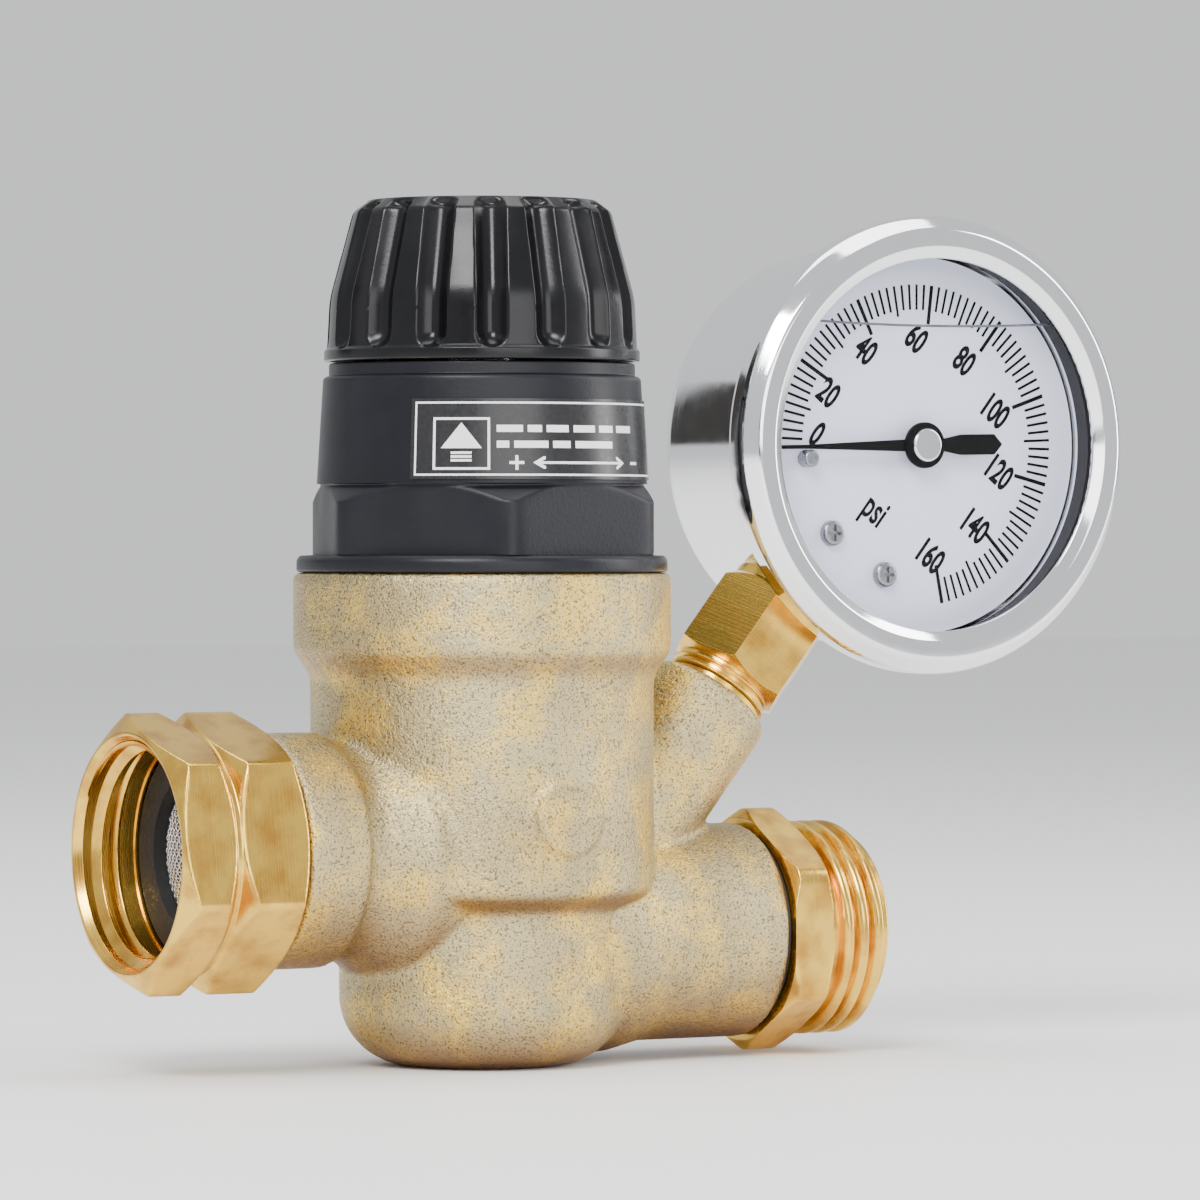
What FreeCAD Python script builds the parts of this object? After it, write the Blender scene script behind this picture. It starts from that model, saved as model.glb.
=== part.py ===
"""Adjustable water pressure regulator: swivel hose inlet, hose-thread outlet, locking knob and dial gauge.

Millimetres, +Z up. The origin is the centre of the flat underside. Water enters the swivel nut and
flows along +X to the outlet thread. The gauge dial faces -Y. The valve is stored open, the knob is
down, and the gauge reads zero.
"""
import math
import os

import FreeCAD
import Part

Vector = FreeCAD.Vector

# Gaps between pieces that touch or slide
fit_gap = 0.05
rest_gap = 0.02

# Cast body
base_rounding = 8.6
cup_low_radius = 17.6
cup_low_top = 19.3
barrel_radius = 21.1
barrel_bottom = 21.4
barrel_top = 47.7
cup_top_radius = 23.2
cup_top_bottom = 50.8
body_top = 60.4
inlet_height = 26.8
inlet_face = 31.5
inlet_arm_radius = 13.3
inlet_collar_radius = 14.3
outlet_height = 15.5
outlet_face = 36.6
outlet_arm_radius = 13.4
medallion_radius = 4.6
medallion_height = 31.0

# Passages inside the body
outlet_chamber_radius = 12.0
outlet_chamber_floor = 5.0
seat_wall_bottom = 17.5
seat_wall_top = 20.5
seat_bore_radius = 7.5
inlet_chamber_radius = 10.5
guide_wall_bottom = 36.0
guide_wall_top = 42.0
guide_bore_radius = 8.0
diaphragm_chamber_radius = 16.5
diaphragm_ledge = 49.0
bonnet_thread_radius = 20.0
inlet_port_radius = 8.0
inlet_port_end = 14.0
outlet_port_radius = 10.5
outlet_port_depth = 11.6
waterway_radius = 8.5
waterway_end = 16.0

# Gauge boss, on the line that runs up from the body to the gauge
stem_angle = 51.0
boss_radius = 8.1
boss_face_x = 33.0
boss_face_z = 44.6
boss_length = 22.0
gauge_port_radius = 6.4
gauge_port_depth = 10.0
gauge_distance = 40.8

# Valve train
stem_radius = 1.6
valve_travel = 2.0
seat_lip = 16.8
disc_top = seat_lip - valve_travel - rest_gap

# Spring and adjuster
screw_radius = 4.0
spring_wire_radius = 1.2
spring_coil_radius = 10.5
spring_turns = 4.0
spring_bottom = 52.52
nut_bottom = 69.5
nut_thickness = 4.0
collar_bottom = 78.0
cap_wall_bottom = 81.0
hub_across_flats = 6.0

# Bonnet
flange_top = 62.6
flange_radius = 22.8
bonnet_flats = 39.3
bonnet_hex_top = 71.2
bonnet_hex_turn = -20.5
sleeve_top = 84.4
sleeve_bottom_radius = 20.3
sleeve_top_radius = 19.5
neck_radius = 18.8
neck_top = 86.0
label_bottom = 71.7
label_top = 81.4
label_half_angle = 55.0

# Knob
knob_bottom = 86.2
knob_top = 106.0
knob_base_radius = 19.4
knob_shoulder_radius = 15.6
knob_shoulder_height = 104.4
flute_count = 16
flute_turn = -26.4
flute_radius = 1.9
knob_lift = 4.0

# Swivel nut and tailpiece, measured outward from the body axis
nut_back = 32.0
nut_front = 49.0
nut_groove = 41.5
nut_flats = 30.0
nut_corner_radius = 17.2
nut_turn = 10.0
hose_bore_radius = 13.55
hose_relief_radius = 13.3
hose_thread_back = 41.0
screen_skirt = 0.8
nut_wall = 4.0
tailpiece_radius = 9.9

# Outlet adapter
outlet_hex_back = 37.2
outlet_hex_front = 42.7
outlet_flats = 27.0
outlet_corner_radius = 15.2
outlet_thread_radius = 13.45
outlet_end = 52.0

# Gauge, measured from its centre and outward towards the dial side
case_radius = 25.0
case_back = -14.0
case_wall = 0.9
bezel_radius = 28.8
bezel_front = 14.0
aperture_radius = 23.4
dial_face = 8.0
dial_radius = 23.8
lens_bottom = 11.2
lens_top = 12.9
scale_sweep = 260.0
zero_angle = 181.0
stop_angle = 186.0
tube_radius = 18.0
gear_ratio = 8.0
pinion_radius = 0.9
sector_radius = 7.2
hex_across_flats = 14.0


def outline(corners):
    """Closed wire in the local XZ plane through corners given as across, along and, if rounded, a radius."""
    count = len(corners)
    points = [Vector(corner[0], 0, corner[1]) for corner in corners]
    turns = []
    for index, corner in enumerate(corners):
        here = points[index]
        if len(corner) < 3:
            turns.append((here, here, here))
            continue
        back = (points[index - 1] - here).normalize()
        ahead = (points[(index + 1) % count] - here).normalize()
        half = back.getAngle(ahead) / 2
        reach = corner[2] / math.tan(half)
        inward = (back + ahead).normalize()
        nearest = here + inward * (corner[2] / math.sin(half) - corner[2])
        turns.append((here + back * reach, nearest, here + ahead * reach))
    edges = []
    for index, (start, middle, end) in enumerate(turns):
        following = turns[(index + 1) % count][0]
        if start.distanceToPoint(end) > 1e-6:
            edges.append(Part.Arc(start, middle, end).toShape())
        if end.distanceToPoint(following) > 1e-6:
            edges.append(Part.makeLine(end, following))
    return Part.Wire(edges)


def turned(corners, degrees=360.0):
    """Solid swept about local Z from a profile of radius and height corners."""
    return Part.Face(outline(corners)).revolve(Vector(), Vector(0, 0, 1), degrees)


def drum(radius, bottom, top):
    return Part.makeCylinder(radius, top - bottom, Vector(0, 0, bottom))


def ring(outer, inner, bottom, top):
    return drum(outer, bottom, top).cut(drum(inner, bottom - 1, top + 1))


def prism(points, bottom, top):
    """Upright block over a closed loop of local X and Y points."""
    loop = [Vector(x, y, bottom) for x, y in points]
    return Part.Face(Part.makePolygon(loop + loop[:1])).extrude(Vector(0, 0, top - bottom))


def hexagon(across_flats, turn, bottom, top):
    """Hexagonal block with its first corner turned from local X by the given degrees."""
    corner = across_flats / math.sqrt(3)
    angles = [math.radians(turn + 60 * step) for step in range(6)]
    return prism([(corner * math.cos(a), corner * math.sin(a)) for a in angles], bottom, top)


def block(x_low, x_high, y_low, y_high, z_low, z_high):
    size = (x_high - x_low, y_high - y_low, z_high - z_low)
    return Part.makeBox(*size, Vector(x_low, y_low, z_low))


def bar(start, end, width, bottom, top):
    """Flat link with round ends between two local XY points."""
    length = math.dist(start, end)
    turn = math.degrees(math.atan2(end[1] - start[1], end[0] - start[0]))
    shape = block(0, length, -width / 2, width / 2, bottom, top)
    shape = shape.fuse([drum(width / 2, bottom, top), round_at(width / 2, (length, 0), bottom, top)])
    shape.rotate(Vector(), Vector(0, 0, 1), turn)
    shape.translate(Vector(start[0], start[1], 0))
    return shape.removeSplitter()


def round_at(radius, centre, bottom, top):
    return Part.makeCylinder(radius, top - bottom, Vector(centre[0], centre[1], bottom))


def polar(radius, degrees):
    return radius * math.cos(math.radians(degrees)), radius * math.sin(math.radians(degrees))


def towards(origin, direction):
    """Frame whose local Z points along the direction, from the origin."""
    return FreeCAD.Placement(origin, FreeCAD.Rotation(Vector(0, 0, 1), direction))


def placed(shape, frame):
    moved = shape.copy()
    moved.Placement = frame.multiply(moved.Placement)
    return moved


inlet = towards(Vector(0, 0, inlet_height), Vector(-1, 0, 0))
outlet = towards(Vector(0, 0, outlet_height), Vector(1, 0, 0))
stem_direction = Vector(math.cos(math.radians(stem_angle)), 0, math.sin(math.radians(stem_angle)))
boss_face = Vector(boss_face_x, 0, boss_face_z)
boss = towards(boss_face, stem_direction)
gauge_centre = boss_face + stem_direction * gauge_distance
gauge = towards(gauge_centre, Vector(0, -1, 0))


# ---- Body ----

def make_valve_body():
    """Casting with two arms, a gauge boss and a medallion, bored for the valve, diaphragm and bonnet."""
    casting = turned([
        (0, 0),
        (cup_low_radius, 0, base_rounding),
        (cup_low_radius, cup_low_top, 1.2),
        (barrel_radius, barrel_bottom, 1.6),
        (barrel_radius, barrel_top, 3.0),
        (cup_top_radius, cup_top_bottom, 2.0),
        (cup_top_radius, body_top, 0.5),
        (0, body_top),
    ])
    inlet_arm = turned([
        (0, 0),
        (16.5, 0),
        (16.5, 15.5, 2.0),
        (inlet_arm_radius, 20.5, 2.5),
        (inlet_arm_radius, 22.9, 0.6),
        (inlet_collar_radius, 23.5, 0.6),
        (inlet_collar_radius, inlet_face, 0.5),
        (0, inlet_face),
    ])
    outlet_arm = turned([
        (0, 0),
        (14.6, 0),
        (14.6, 16.0, 2.0),
        (outlet_arm_radius, 21.0, 3.0),
        (outlet_arm_radius, outlet_face, 0.4),
        (0, outlet_face),
    ])
    gauge_boss = turned([(0, -boss_length), (boss_radius, -boss_length), (boss_radius, 0, 0.7), (0, 0)])
    casting = casting.fuse([placed(inlet_arm, inlet), placed(outlet_arm, outlet), placed(gauge_boss, boss)])

    medallion = drum(medallion_radius, 15, barrel_radius + 0.7)
    dish = ring(medallion_radius - 0.7, 0, barrel_radius + 0.2, barrel_radius + 1)
    arrow = prism([
        (-2.7, -0.5), (0.5, -0.5), (0.5, -1.5), (2.8, 0), (0.5, 1.5), (0.5, 0.5), (-2.7, 0.5),
    ], barrel_radius - 1, barrel_radius + 0.6)
    front = towards(Vector(0, 0, medallion_height), Vector(0, -1, 0))
    casting = casting.fuse(placed(medallion.cut(dish).fuse(arrow), front))

    chambers = turned([
        (0, outlet_chamber_floor),
        (outlet_chamber_radius, outlet_chamber_floor, 4.0),
        (outlet_chamber_radius, seat_wall_bottom),
        (seat_bore_radius, seat_wall_bottom),
        (seat_bore_radius, seat_wall_top),
        (inlet_chamber_radius, seat_wall_top),
        (inlet_chamber_radius, guide_wall_bottom),
        (guide_bore_radius, guide_wall_bottom),
        (guide_bore_radius, guide_wall_top),
        (diaphragm_chamber_radius, guide_wall_top),
        (diaphragm_chamber_radius, diaphragm_ledge),
        (bonnet_thread_radius, diaphragm_ledge),
        (bonnet_thread_radius, body_top - 0.8),
        (bonnet_thread_radius + 0.8, body_top),
        (0, body_top),
    ])
    inlet_port = drum(inlet_port_radius, inlet_port_end, inlet_face + 1)
    inlet_passage = placed(drum(5.0, 0, inlet_port_end + 1), towards(Vector(0, 0, 27.5), Vector(-1, 0, 0)))
    outlet_port = turned([
        (0, waterway_end),
        (waterway_radius, waterway_end),
        (waterway_radius, outlet_face - outlet_port_depth),
        (outlet_port_radius, outlet_face - outlet_port_depth),
        (outlet_port_radius, outlet_face + 1),
        (0, outlet_face + 1),
    ])
    outlet_passage = placed(drum(4.4, 0, waterway_end + 1), towards(Vector(0, 0, 13), Vector(1, 0, 0)))
    gauge_port = drum(gauge_port_radius, -gauge_port_depth, 1)
    gauge_passage = drum(1.6, -30, -gauge_port_depth + 1)
    sensing_hole = Part.makeCylinder(1.0, guide_wall_top - 13 + 1, Vector(14.5, 0, 13))
    return casting.cut([
        chambers,
        placed(inlet_port, inlet),
        inlet_passage,
        placed(outlet_port, outlet),
        outlet_passage,
        placed(gauge_port, boss),
        placed(gauge_passage, boss),
        sensing_hole,
    ]).removeSplitter()


# ---- Valve train ----

def make_seat_ring():
    """Screwed seat with a raised lip underneath and a slotted rim on top."""
    shape = turned([
        (4.6, seat_lip),
        (5.4, seat_lip),
        (5.9, seat_wall_bottom + 0.2),
        (seat_bore_radius - fit_gap, seat_wall_bottom + 0.2),
        (seat_bore_radius - fit_gap, seat_wall_top + 0.8),
        (4.6, seat_wall_top + 0.8),
    ])
    return shape.cut(block(-9, 9, -0.8, 0.8, seat_wall_top, seat_wall_top + 2))


def make_valve_stem():
    """Rod with a collar under the diaphragm and a shoulder above the disc holder."""
    return turned([
        (0, 7.6),
        (stem_radius, 7.6, 0.3),
        (stem_radius, disc_top + rest_gap),
        (2.4, disc_top + rest_gap),
        (2.4, 17.4),
        (stem_radius, 18.4),
        (stem_radius, 45.6),
        (3.2, 45.6),
        (3.2, 47.2),
        (stem_radius, 47.2),
        (stem_radius, 56.4, 0.3),
        (0, 56.4),
    ])


def make_disc_holder():
    return turned([
        (stem_radius + rest_gap, 11.2),
        (6.9, 11.2, 0.6),
        (6.9, disc_top - 0.5, 0.3),
        (6.2, disc_top - 0.5),
        (6.2, 12.8),
        (stem_radius + rest_gap, 12.8),
    ])


def make_valve_disc():
    return ring(6.2 - rest_gap, stem_radius + rest_gap, 12.8 + rest_gap, disc_top)


def make_disc_nut():
    return hexagon(5.5, 0, 8.4, 11.2 - rest_gap).cut(drum(stem_radius + rest_gap, 8, 12))


def make_stem_guide():
    """Flanged bush with one seal groove inside and one outside."""
    bush = turned([
        (stem_radius + fit_gap, guide_wall_bottom - 1),
        (guide_bore_radius - fit_gap, guide_wall_bottom - 1, 0.4),
        (guide_bore_radius - fit_gap, guide_wall_top + rest_gap),
        (10.5, guide_wall_top + rest_gap),
        (10.5, guide_wall_top + 1.6, 0.4),
        (stem_radius + fit_gap, guide_wall_top + 1.6),
    ])
    return bush.cut([ring(3.5, 1, 38, 40.2), ring(9, 6.2, 38, 40.2)])


def make_o_ring(centre_radius, section_radius, height):
    return Part.makeTorus(centre_radius, section_radius, Vector(0, 0, height))


def make_lower_washer():
    return turned([
        (stem_radius + rest_gap, 47.2 + rest_gap),
        (11.5, 47.2 + rest_gap),
        (12.0, diaphragm_ledge - rest_gap, 0.4),
        (stem_radius + rest_gap, diaphragm_ledge - rest_gap),
    ])


def make_diaphragm():
    """Reinforced rubber sheet with one rolled convolution between the plate and its clamped rim."""
    return turned([
        (stem_radius + rest_gap, diaphragm_ledge),
        (12.4, diaphragm_ledge),
        (13.2, diaphragm_ledge - 1.2, 0.7),
        (14.8, diaphragm_ledge - 1.2, 0.7),
        (15.6, diaphragm_ledge, 0.3),
        (19.8, diaphragm_ledge),
        (19.8, diaphragm_ledge + 1.2),
        (15.2, diaphragm_ledge + 1.2, 0.4),
        (14.4, diaphragm_ledge - 0.1, 0.4),
        (13.6, diaphragm_ledge - 0.1, 0.4),
        (12.9, diaphragm_ledge + 1.2, 0.4),
        (stem_radius + rest_gap, diaphragm_ledge + 1.2),
    ])


def make_diaphragm_plate():
    """Dished spring plate with an upturned rim around the spring."""
    bottom = diaphragm_ledge + 1.2 + rest_gap
    return turned([
        (stem_radius + rest_gap, bottom),
        (13.0, bottom, 0.8),
        (13.0, bottom + 4.2, 0.3),
        (12.2, bottom + 4.2),
        (12.2, spring_bottom - rest_gap),
        (stem_radius + rest_gap, spring_bottom - rest_gap),
    ])


def make_diaphragm_nut():
    return hexagon(6.5, 0, spring_bottom, spring_bottom + 2.8).cut(drum(stem_radius + rest_gap, 52, 56))


def make_slip_ring():
    return ring(19.8, 15.4, diaphragm_ledge + 1.2 + rest_gap, diaphragm_ledge + 2.4)


# ---- Spring and adjuster ----

def make_main_spring():
    low = spring_bottom + spring_wire_radius + rest_gap
    high = nut_bottom - spring_wire_radius - rest_gap
    path = Part.makeHelix((high - low) / spring_turns, high - low, spring_coil_radius)
    circle = Part.makeCircle(spring_wire_radius, Vector(spring_coil_radius, 0, 0), Vector(0, 1, 0))
    section = Part.Wire(circle)
    coil = Part.Wire(path.Edges).makePipeShell([section], True, True)
    coil.translate(Vector(0, 0, low))
    return coil


def make_spring_nut():
    """Round nut with two ears that run in grooves in the bonnet, so it climbs the screw without turning."""
    top = nut_bottom + nut_thickness
    ears = block(-16.6, 16.6, -1.9, 1.9, nut_bottom, top)
    pilot = drum(8.2, nut_bottom - 1.5, nut_bottom + 1)
    shape = drum(14.6, nut_bottom, top).fuse([ears, pilot])
    return shape.cut(drum(screw_radius + fit_gap, nut_bottom - 3, top + 1)).removeSplitter()


def make_adjusting_screw():
    """Screw with a thrust collar, a shaft through the bonnet and a hexagonal end for the knob hub."""
    shape = turned([
        (0, 60.0),
        (screw_radius, 60.0, 0.5),
        (screw_radius, collar_bottom),
        (7.0, collar_bottom),
        (7.0, collar_bottom + 2.0),
        (screw_radius, collar_bottom + 2.0),
        (screw_radius, neck_top + 1.0),
        (0, neck_top + 1.0),
    ])
    shape = shape.fuse([hexagon(hub_across_flats, 0, neck_top + 1.0, 100.6), drum(2.2, 100.6, 102.4)])
    return shape.cut(ring(6, 1.6, 101.0, 101.7))


def make_thrust_washer():
    return ring(8.0, screw_radius + 0.1, collar_bottom + 2.0 + rest_gap, cap_wall_bottom - rest_gap)


def make_bonnet():
    """Screwed plastic housing: skirt, flange, hexagon, tapered sleeve and a neck under the knob."""
    skirt = ring(bonnet_thread_radius - fit_gap, 15.4, diaphragm_ledge + 2.4 + rest_gap, flange_top)
    flange = turned([
        (14, body_top + rest_gap),
        (flange_radius, body_top + rest_gap, 0.4),
        (flange_radius, flange_top, 1.1),
        (14, flange_top),
    ])
    hexagonal = hexagon(bonnet_flats, bonnet_hex_turn - 90, flange_top - 0.5, bonnet_hex_top)
    cone = turned([
        (0, flange_top - 1),
        (22.3, flange_top - 1),
        (22.3, bonnet_hex_top - 1.5),
        (19.7, bonnet_hex_top),
        (0, bonnet_hex_top),
    ])
    sleeve = turned([
        (0, bonnet_hex_top - 1),
        (sleeve_bottom_radius, bonnet_hex_top - 1),
        (sleeve_bottom_radius, bonnet_hex_top),
        (sleeve_top_radius, sleeve_top, 0.7),
        (neck_radius, sleeve_top),
        (neck_radius, neck_top),
        (0, neck_top),
    ])
    core = turned([
        (0, diaphragm_ledge),
        (15.4, diaphragm_ledge),
        (15.4, cap_wall_bottom, 1.0),
        (screw_radius + 0.1, cap_wall_bottom),
        (screw_radius + 0.1, neck_top + 1),
        (0, neck_top + 1),
    ])
    grooves = block(-17.2, 17.2, -2.1, 2.1, 62.0, 79.0)
    shell = skirt.fuse([flange, hexagonal.common(cone), sleeve])
    return shell.cut([core, grooves]).removeSplitter()


def make_bonnet_label():
    """Thin printed wrap on the front of the sleeve, following its taper."""
    slope = (sleeve_bottom_radius - sleeve_top_radius) / (sleeve_top - bonnet_hex_top)
    low = sleeve_bottom_radius - slope * (label_bottom - bonnet_hex_top) + rest_gap
    high = sleeve_bottom_radius - slope * (label_top - bonnet_hex_top) + rest_gap
    wrap = turned([
        (low, label_bottom),
        (low + 0.25, label_bottom),
        (high + 0.25, label_top),
        (high, label_top),
    ], 2 * label_half_angle)
    wrap.rotate(Vector(), Vector(0, 0, 1), -90 - label_half_angle)
    return wrap


# ---- Knob ----

def make_knob():
    """Fluted cap, hollow underneath, with a rim at its foot."""
    shell = turned([
        (0, knob_bottom),
        (knob_base_radius, knob_bottom, 0.4),
        (knob_base_radius, knob_bottom + 1.4, 0.3),
        (knob_base_radius - 0.4, knob_bottom + 1.6),
        (18.7, 94.0, 12.0),
        (knob_shoulder_radius, knob_shoulder_height, 1.8),
        (13.2, knob_top, 3.0),
        (0, knob_top),
    ])
    cavity = turned([
        (0, knob_bottom - 1),
        (17.2, knob_bottom - 1),
        (17.2, knob_bottom + 1.5, 1.0),
        (12.0, 89.5),
        (12.0, 103.6, 1.0),
        (0, 103.6),
    ])
    flutes = []
    for step in range(flute_count):
        turn = flute_turn + step * 360 / flute_count - 90
        foot = Vector(*polar(knob_base_radius + 0.5, turn), knob_bottom + 1.4 + flute_radius)
        head = Vector(*polar(knob_shoulder_radius + 0.6, turn), knob_top)
        groove = Part.makeCylinder(flute_radius, foot.distanceToPoint(head), foot, head - foot)
        flutes.append(groove.fuse(Part.makeSphere(flute_radius, foot)))
    return shell.cut([cavity] + flutes).removeSplitter()


def make_knob_hub():
    """Pressed-in hub whose hexagonal socket slides on the adjusting screw."""
    hub = turned([
        (0, 89.6),
        (5.6, 89.6),
        (5.6, 94.4),
        (12.0 - rest_gap, 94.4),
        (12.0 - rest_gap, 96.4),
        (0, 96.4),
    ])
    return hub.cut(hexagon(hub_across_flats + 0.16, 0, 89, 97))


def make_hub_clip():
    return ring(3.9, 1.65, 101.05, 101.65).cut(block(0.6, 5, -1.0, 1.0, 101, 102))


# ---- Inlet, along the inlet axis ----

def make_inlet_tailpiece():
    """Screwed tube whose flange holds the swivel nut."""
    return turned([
        (6.5, inlet_port_end + 1),
        (inlet_port_radius - fit_gap, inlet_port_end + 1),
        (inlet_port_radius - fit_gap, inlet_face + rest_gap),
        (tailpiece_radius, inlet_face + rest_gap),
        (tailpiece_radius, nut_back + nut_wall + 0.1),
        (hose_bore_radius - 0.4, nut_back + nut_wall + 0.1),
        (hose_bore_radius - 0.4, nut_back + nut_wall + 2.0),
        (6.5, nut_back + nut_wall + 2.0),
    ])


def make_swivel_nut():
    """Two hexagonal bands around the hose bore, with a relief for the washer and a shoulder behind."""
    body = hexagon(nut_flats, nut_turn, nut_back, nut_front)
    envelope = turned([
        (0, nut_back),
        (nut_corner_radius - 2.6, nut_back),
        (nut_corner_radius, nut_back + 1.5),
        (nut_corner_radius, nut_groove - 1.9),
        (nut_corner_radius - 2.2, nut_groove - 0.4),
        (nut_corner_radius - 2.2, nut_groove + 0.4),
        (nut_corner_radius, nut_groove + 1.9),
        (nut_corner_radius, nut_front - 1.5),
        (nut_corner_radius - 2.6, nut_front),
        (0, nut_front),
    ])
    bore = turned([
        (0, nut_back - 1),
        (tailpiece_radius + 0.1, nut_back - 1),
        (tailpiece_radius + 0.1, nut_back + nut_wall),
        (hose_relief_radius, nut_back + nut_wall),
        (hose_relief_radius, hose_thread_back),
        (hose_bore_radius, hose_thread_back),
        (hose_bore_radius, nut_front - 0.5),
        (hose_bore_radius + 0.6, nut_front + 0.1),
        (0, nut_front + 0.1),
    ])
    return body.common(envelope).cut(bore)


def make_inlet_washer():
    bottom = nut_back + nut_wall + 2.0 + rest_gap
    return ring(hose_bore_radius - 0.5, 9.2, bottom, bottom + 2.6)


def make_filter_screen():
    """Domed mesh cap seated inside the washer."""
    bottom = nut_back + nut_wall + 2.0 + rest_gap
    rise = 1.9
    outer = 9.0
    rim = bottom + screen_skirt
    sphere = (outer ** 2 + rise ** 2) / (2 * rise)
    centre = rim + rise - sphere
    ball = Part.makeSphere(sphere, Vector(0, 0, centre)).common(drum(outer, rim, rim + 4))
    mouth = drum(outer - 0.6, bottom - 1, rim + 0.05)
    hollow = Part.makeSphere(sphere - 0.4, Vector(0, 0, centre)).fuse(mouth)
    return drum(outer, bottom, rim).fuse(ball).cut(hollow).removeSplitter()


# ---- Outlet, along the outlet axis ----

def make_outlet_seal():
    return turned([
        (outlet_port_radius + 0.1, outlet_face + rest_gap),
        (12.6, outlet_face + rest_gap, 0.25),
        (12.6, outlet_hex_back - rest_gap, 0.25),
        (outlet_port_radius + 0.1, outlet_hex_back - rest_gap),
    ])


def make_outlet_adapter():
    """Nipple screwed into the outlet arm, with a hexagon and a cylinder at the hose thread's size."""
    tail = outlet_face - outlet_port_depth + 0.1
    tube = turned([
        (waterway_radius, tail),
        (outlet_port_radius - fit_gap, tail, 0.4),
        (outlet_port_radius - fit_gap, outlet_hex_front - 0.1),
        (outlet_thread_radius, outlet_hex_front - 0.1),
        (outlet_thread_radius, outlet_end - 0.6),
        (outlet_thread_radius - 0.6, outlet_end),
        (waterway_radius, outlet_end),
    ])
    envelope = turned([
        (waterway_radius, outlet_hex_back),
        (outlet_corner_radius - 1.2, outlet_hex_back),
        (outlet_corner_radius, outlet_hex_back + 0.7),
        (outlet_corner_radius, outlet_hex_front - 0.7),
        (outlet_corner_radius - 1.2, outlet_hex_front),
        (waterway_radius, outlet_hex_front),
    ])
    flats = hexagon(outlet_flats, 0, outlet_hex_back, outlet_hex_front).common(envelope)
    return tube.fuse(flats).removeSplitter()


# ---- Gauge stem, along the boss axis ----

block_half_width = 8.0
block_near = 10.5
block_far = 22.0
stem_turn = stem_angle + 180


def along_stem(along, across):
    """Gauge-face point measured from the gauge centre towards the stem and square to it."""
    x, y = polar(along, stem_turn)
    side_x, side_y = polar(across, stem_turn + 90)
    return x + side_x, y + side_y


dial_screw_places = [along_stem(16.7, -3.0), along_stem(15.8, 6.4)]
movement_screw_places = [along_stem(12.6, -3.4), along_stem(12.6, 3.4)]


def make_gauge_stem():
    """Threaded stem with a hexagon, ending in the block that carries the tube, movement and dial."""
    neck_end = gauge_distance - block_far + 1
    shank = turned([
        (0, -gauge_port_depth + 0.3),
        (gauge_port_radius - fit_gap, -gauge_port_depth + 0.3, 0.6),
        (gauge_port_radius - fit_gap, neck_end),
        (0, neck_end),
    ])
    chamfered = turned([(0, 3), (6.6, 3), (8.1, 3.9), (8.1, 13.6), (6.6, 15.2), (0, 15.2)])
    shank = shank.fuse(hexagon(hex_across_flats, 0, 3, 15.2).common(chamfered))
    corners = [(block_near, -1), (block_far, -1), (block_far, 1), (block_near, 1)]
    carrier = prism([along_stem(a, side * block_half_width) for a, side in corners], -8, 2)
    posts = [round_at(1.7, place, 1.5, 7.5 - rest_gap) for place in dial_screw_places]
    inside = carrier.fuse(posts)
    inside = inside.cut([round_at(0.8, place, 4.5, 8) for place in dial_screw_places])
    inside = inside.cut([round_at(0.8, place, -4, 3) for place in movement_screw_places])
    shape = placed(shank, boss).fuse(placed(inside, gauge))
    return shape.cut(placed(drum(1.5, -gauge_port_depth, gauge_distance - 15), boss)).removeSplitter()


# ---- Gauge, in the dial's frame ----

def make_gauge_case():
    """Drawn cup with a flange for the bezel and a hole in its rim for the stem."""
    shell = turned([
        (0, case_back),
        (case_radius, case_back, 3.5),
        (case_radius, 8.0),
        (25.9, 8.0),
        (25.9, 8.9),
        (case_radius - case_wall, 8.9),
        (case_radius - case_wall, case_back + case_wall, 2.6),
        (0, case_back + case_wall),
    ])
    hole_start = gauge_distance - case_radius - 1
    hole = drum(gauge_port_radius + fit_gap, hole_start, hole_start + 4)
    filler_way = towards(Vector(), Vector(0.6293, 0.7771, 0))
    filler = placed(drum(4.0, case_radius - 2, case_radius + 2), filler_way)
    return placed(shell.cut(filler), gauge).cut(placed(hole, boss))


def make_fill_plug():
    """Rubber plug in the case rim opposite the stem."""
    plug = turned([(0, 23.4), (3.9, 23.4), (3.9, 25.2), (5.4, 25.2), (5.4, 26.6, 0.5), (0, 26.6)])
    return placed(plug, towards(Vector(), Vector(0.6293, 0.7771, 0)))


def make_bezel():
    return turned([
        (case_radius + 0.1, 7.2),
        (26.4, 7.2, 0.3),
        (bezel_radius, 9.2, 1.2),
        (bezel_radius, 12.2, 1.4),
        (27.0, bezel_front, 0.8),
        (24.6, bezel_front, 0.8),
        (aperture_radius, lens_top + 0.5, 0.2),
        (aperture_radius, lens_top + rest_gap),
        (26.0, lens_top + rest_gap),
        (26.0, 7.9),
        (case_radius + 0.1, 7.9),
    ])


def make_bezel_gasket():
    return ring(25.9, case_radius - case_wall, 8.9 + rest_gap, lens_bottom - rest_gap)


def make_lens():
    return drum(25.9, lens_bottom, lens_top)


def make_dial():
    plate = drum(dial_radius, dial_face - 0.5, dial_face).cut(drum(1.5, 0, 10))
    plate = plate.cut(round_at(0.52, polar(16.8, stop_angle), 0, 10))
    return plate.cut([round_at(0.9, place, 0, 10) for place in dial_screw_places])


def make_dial_screws():
    """Two round-headed cross-recess screws."""
    screws = []
    for place in dial_screw_places:
        head = turned([(0, dial_face + rest_gap), (1.6, dial_face + rest_gap), (1.6, 9.0, 0.5), (0, 9.0)])
        screw = head.fuse(drum(0.75, 5.0, 8.5))
        screw = screw.cut([block(-1, 1, -0.2, 0.2, 8.5, 10), block(-0.2, 0.2, -1, 1, 8.5, 10)])
        screw.translate(Vector(place[0], place[1], 0))
        screws.append(screw)
    return Part.makeCompound(screws)


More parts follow.
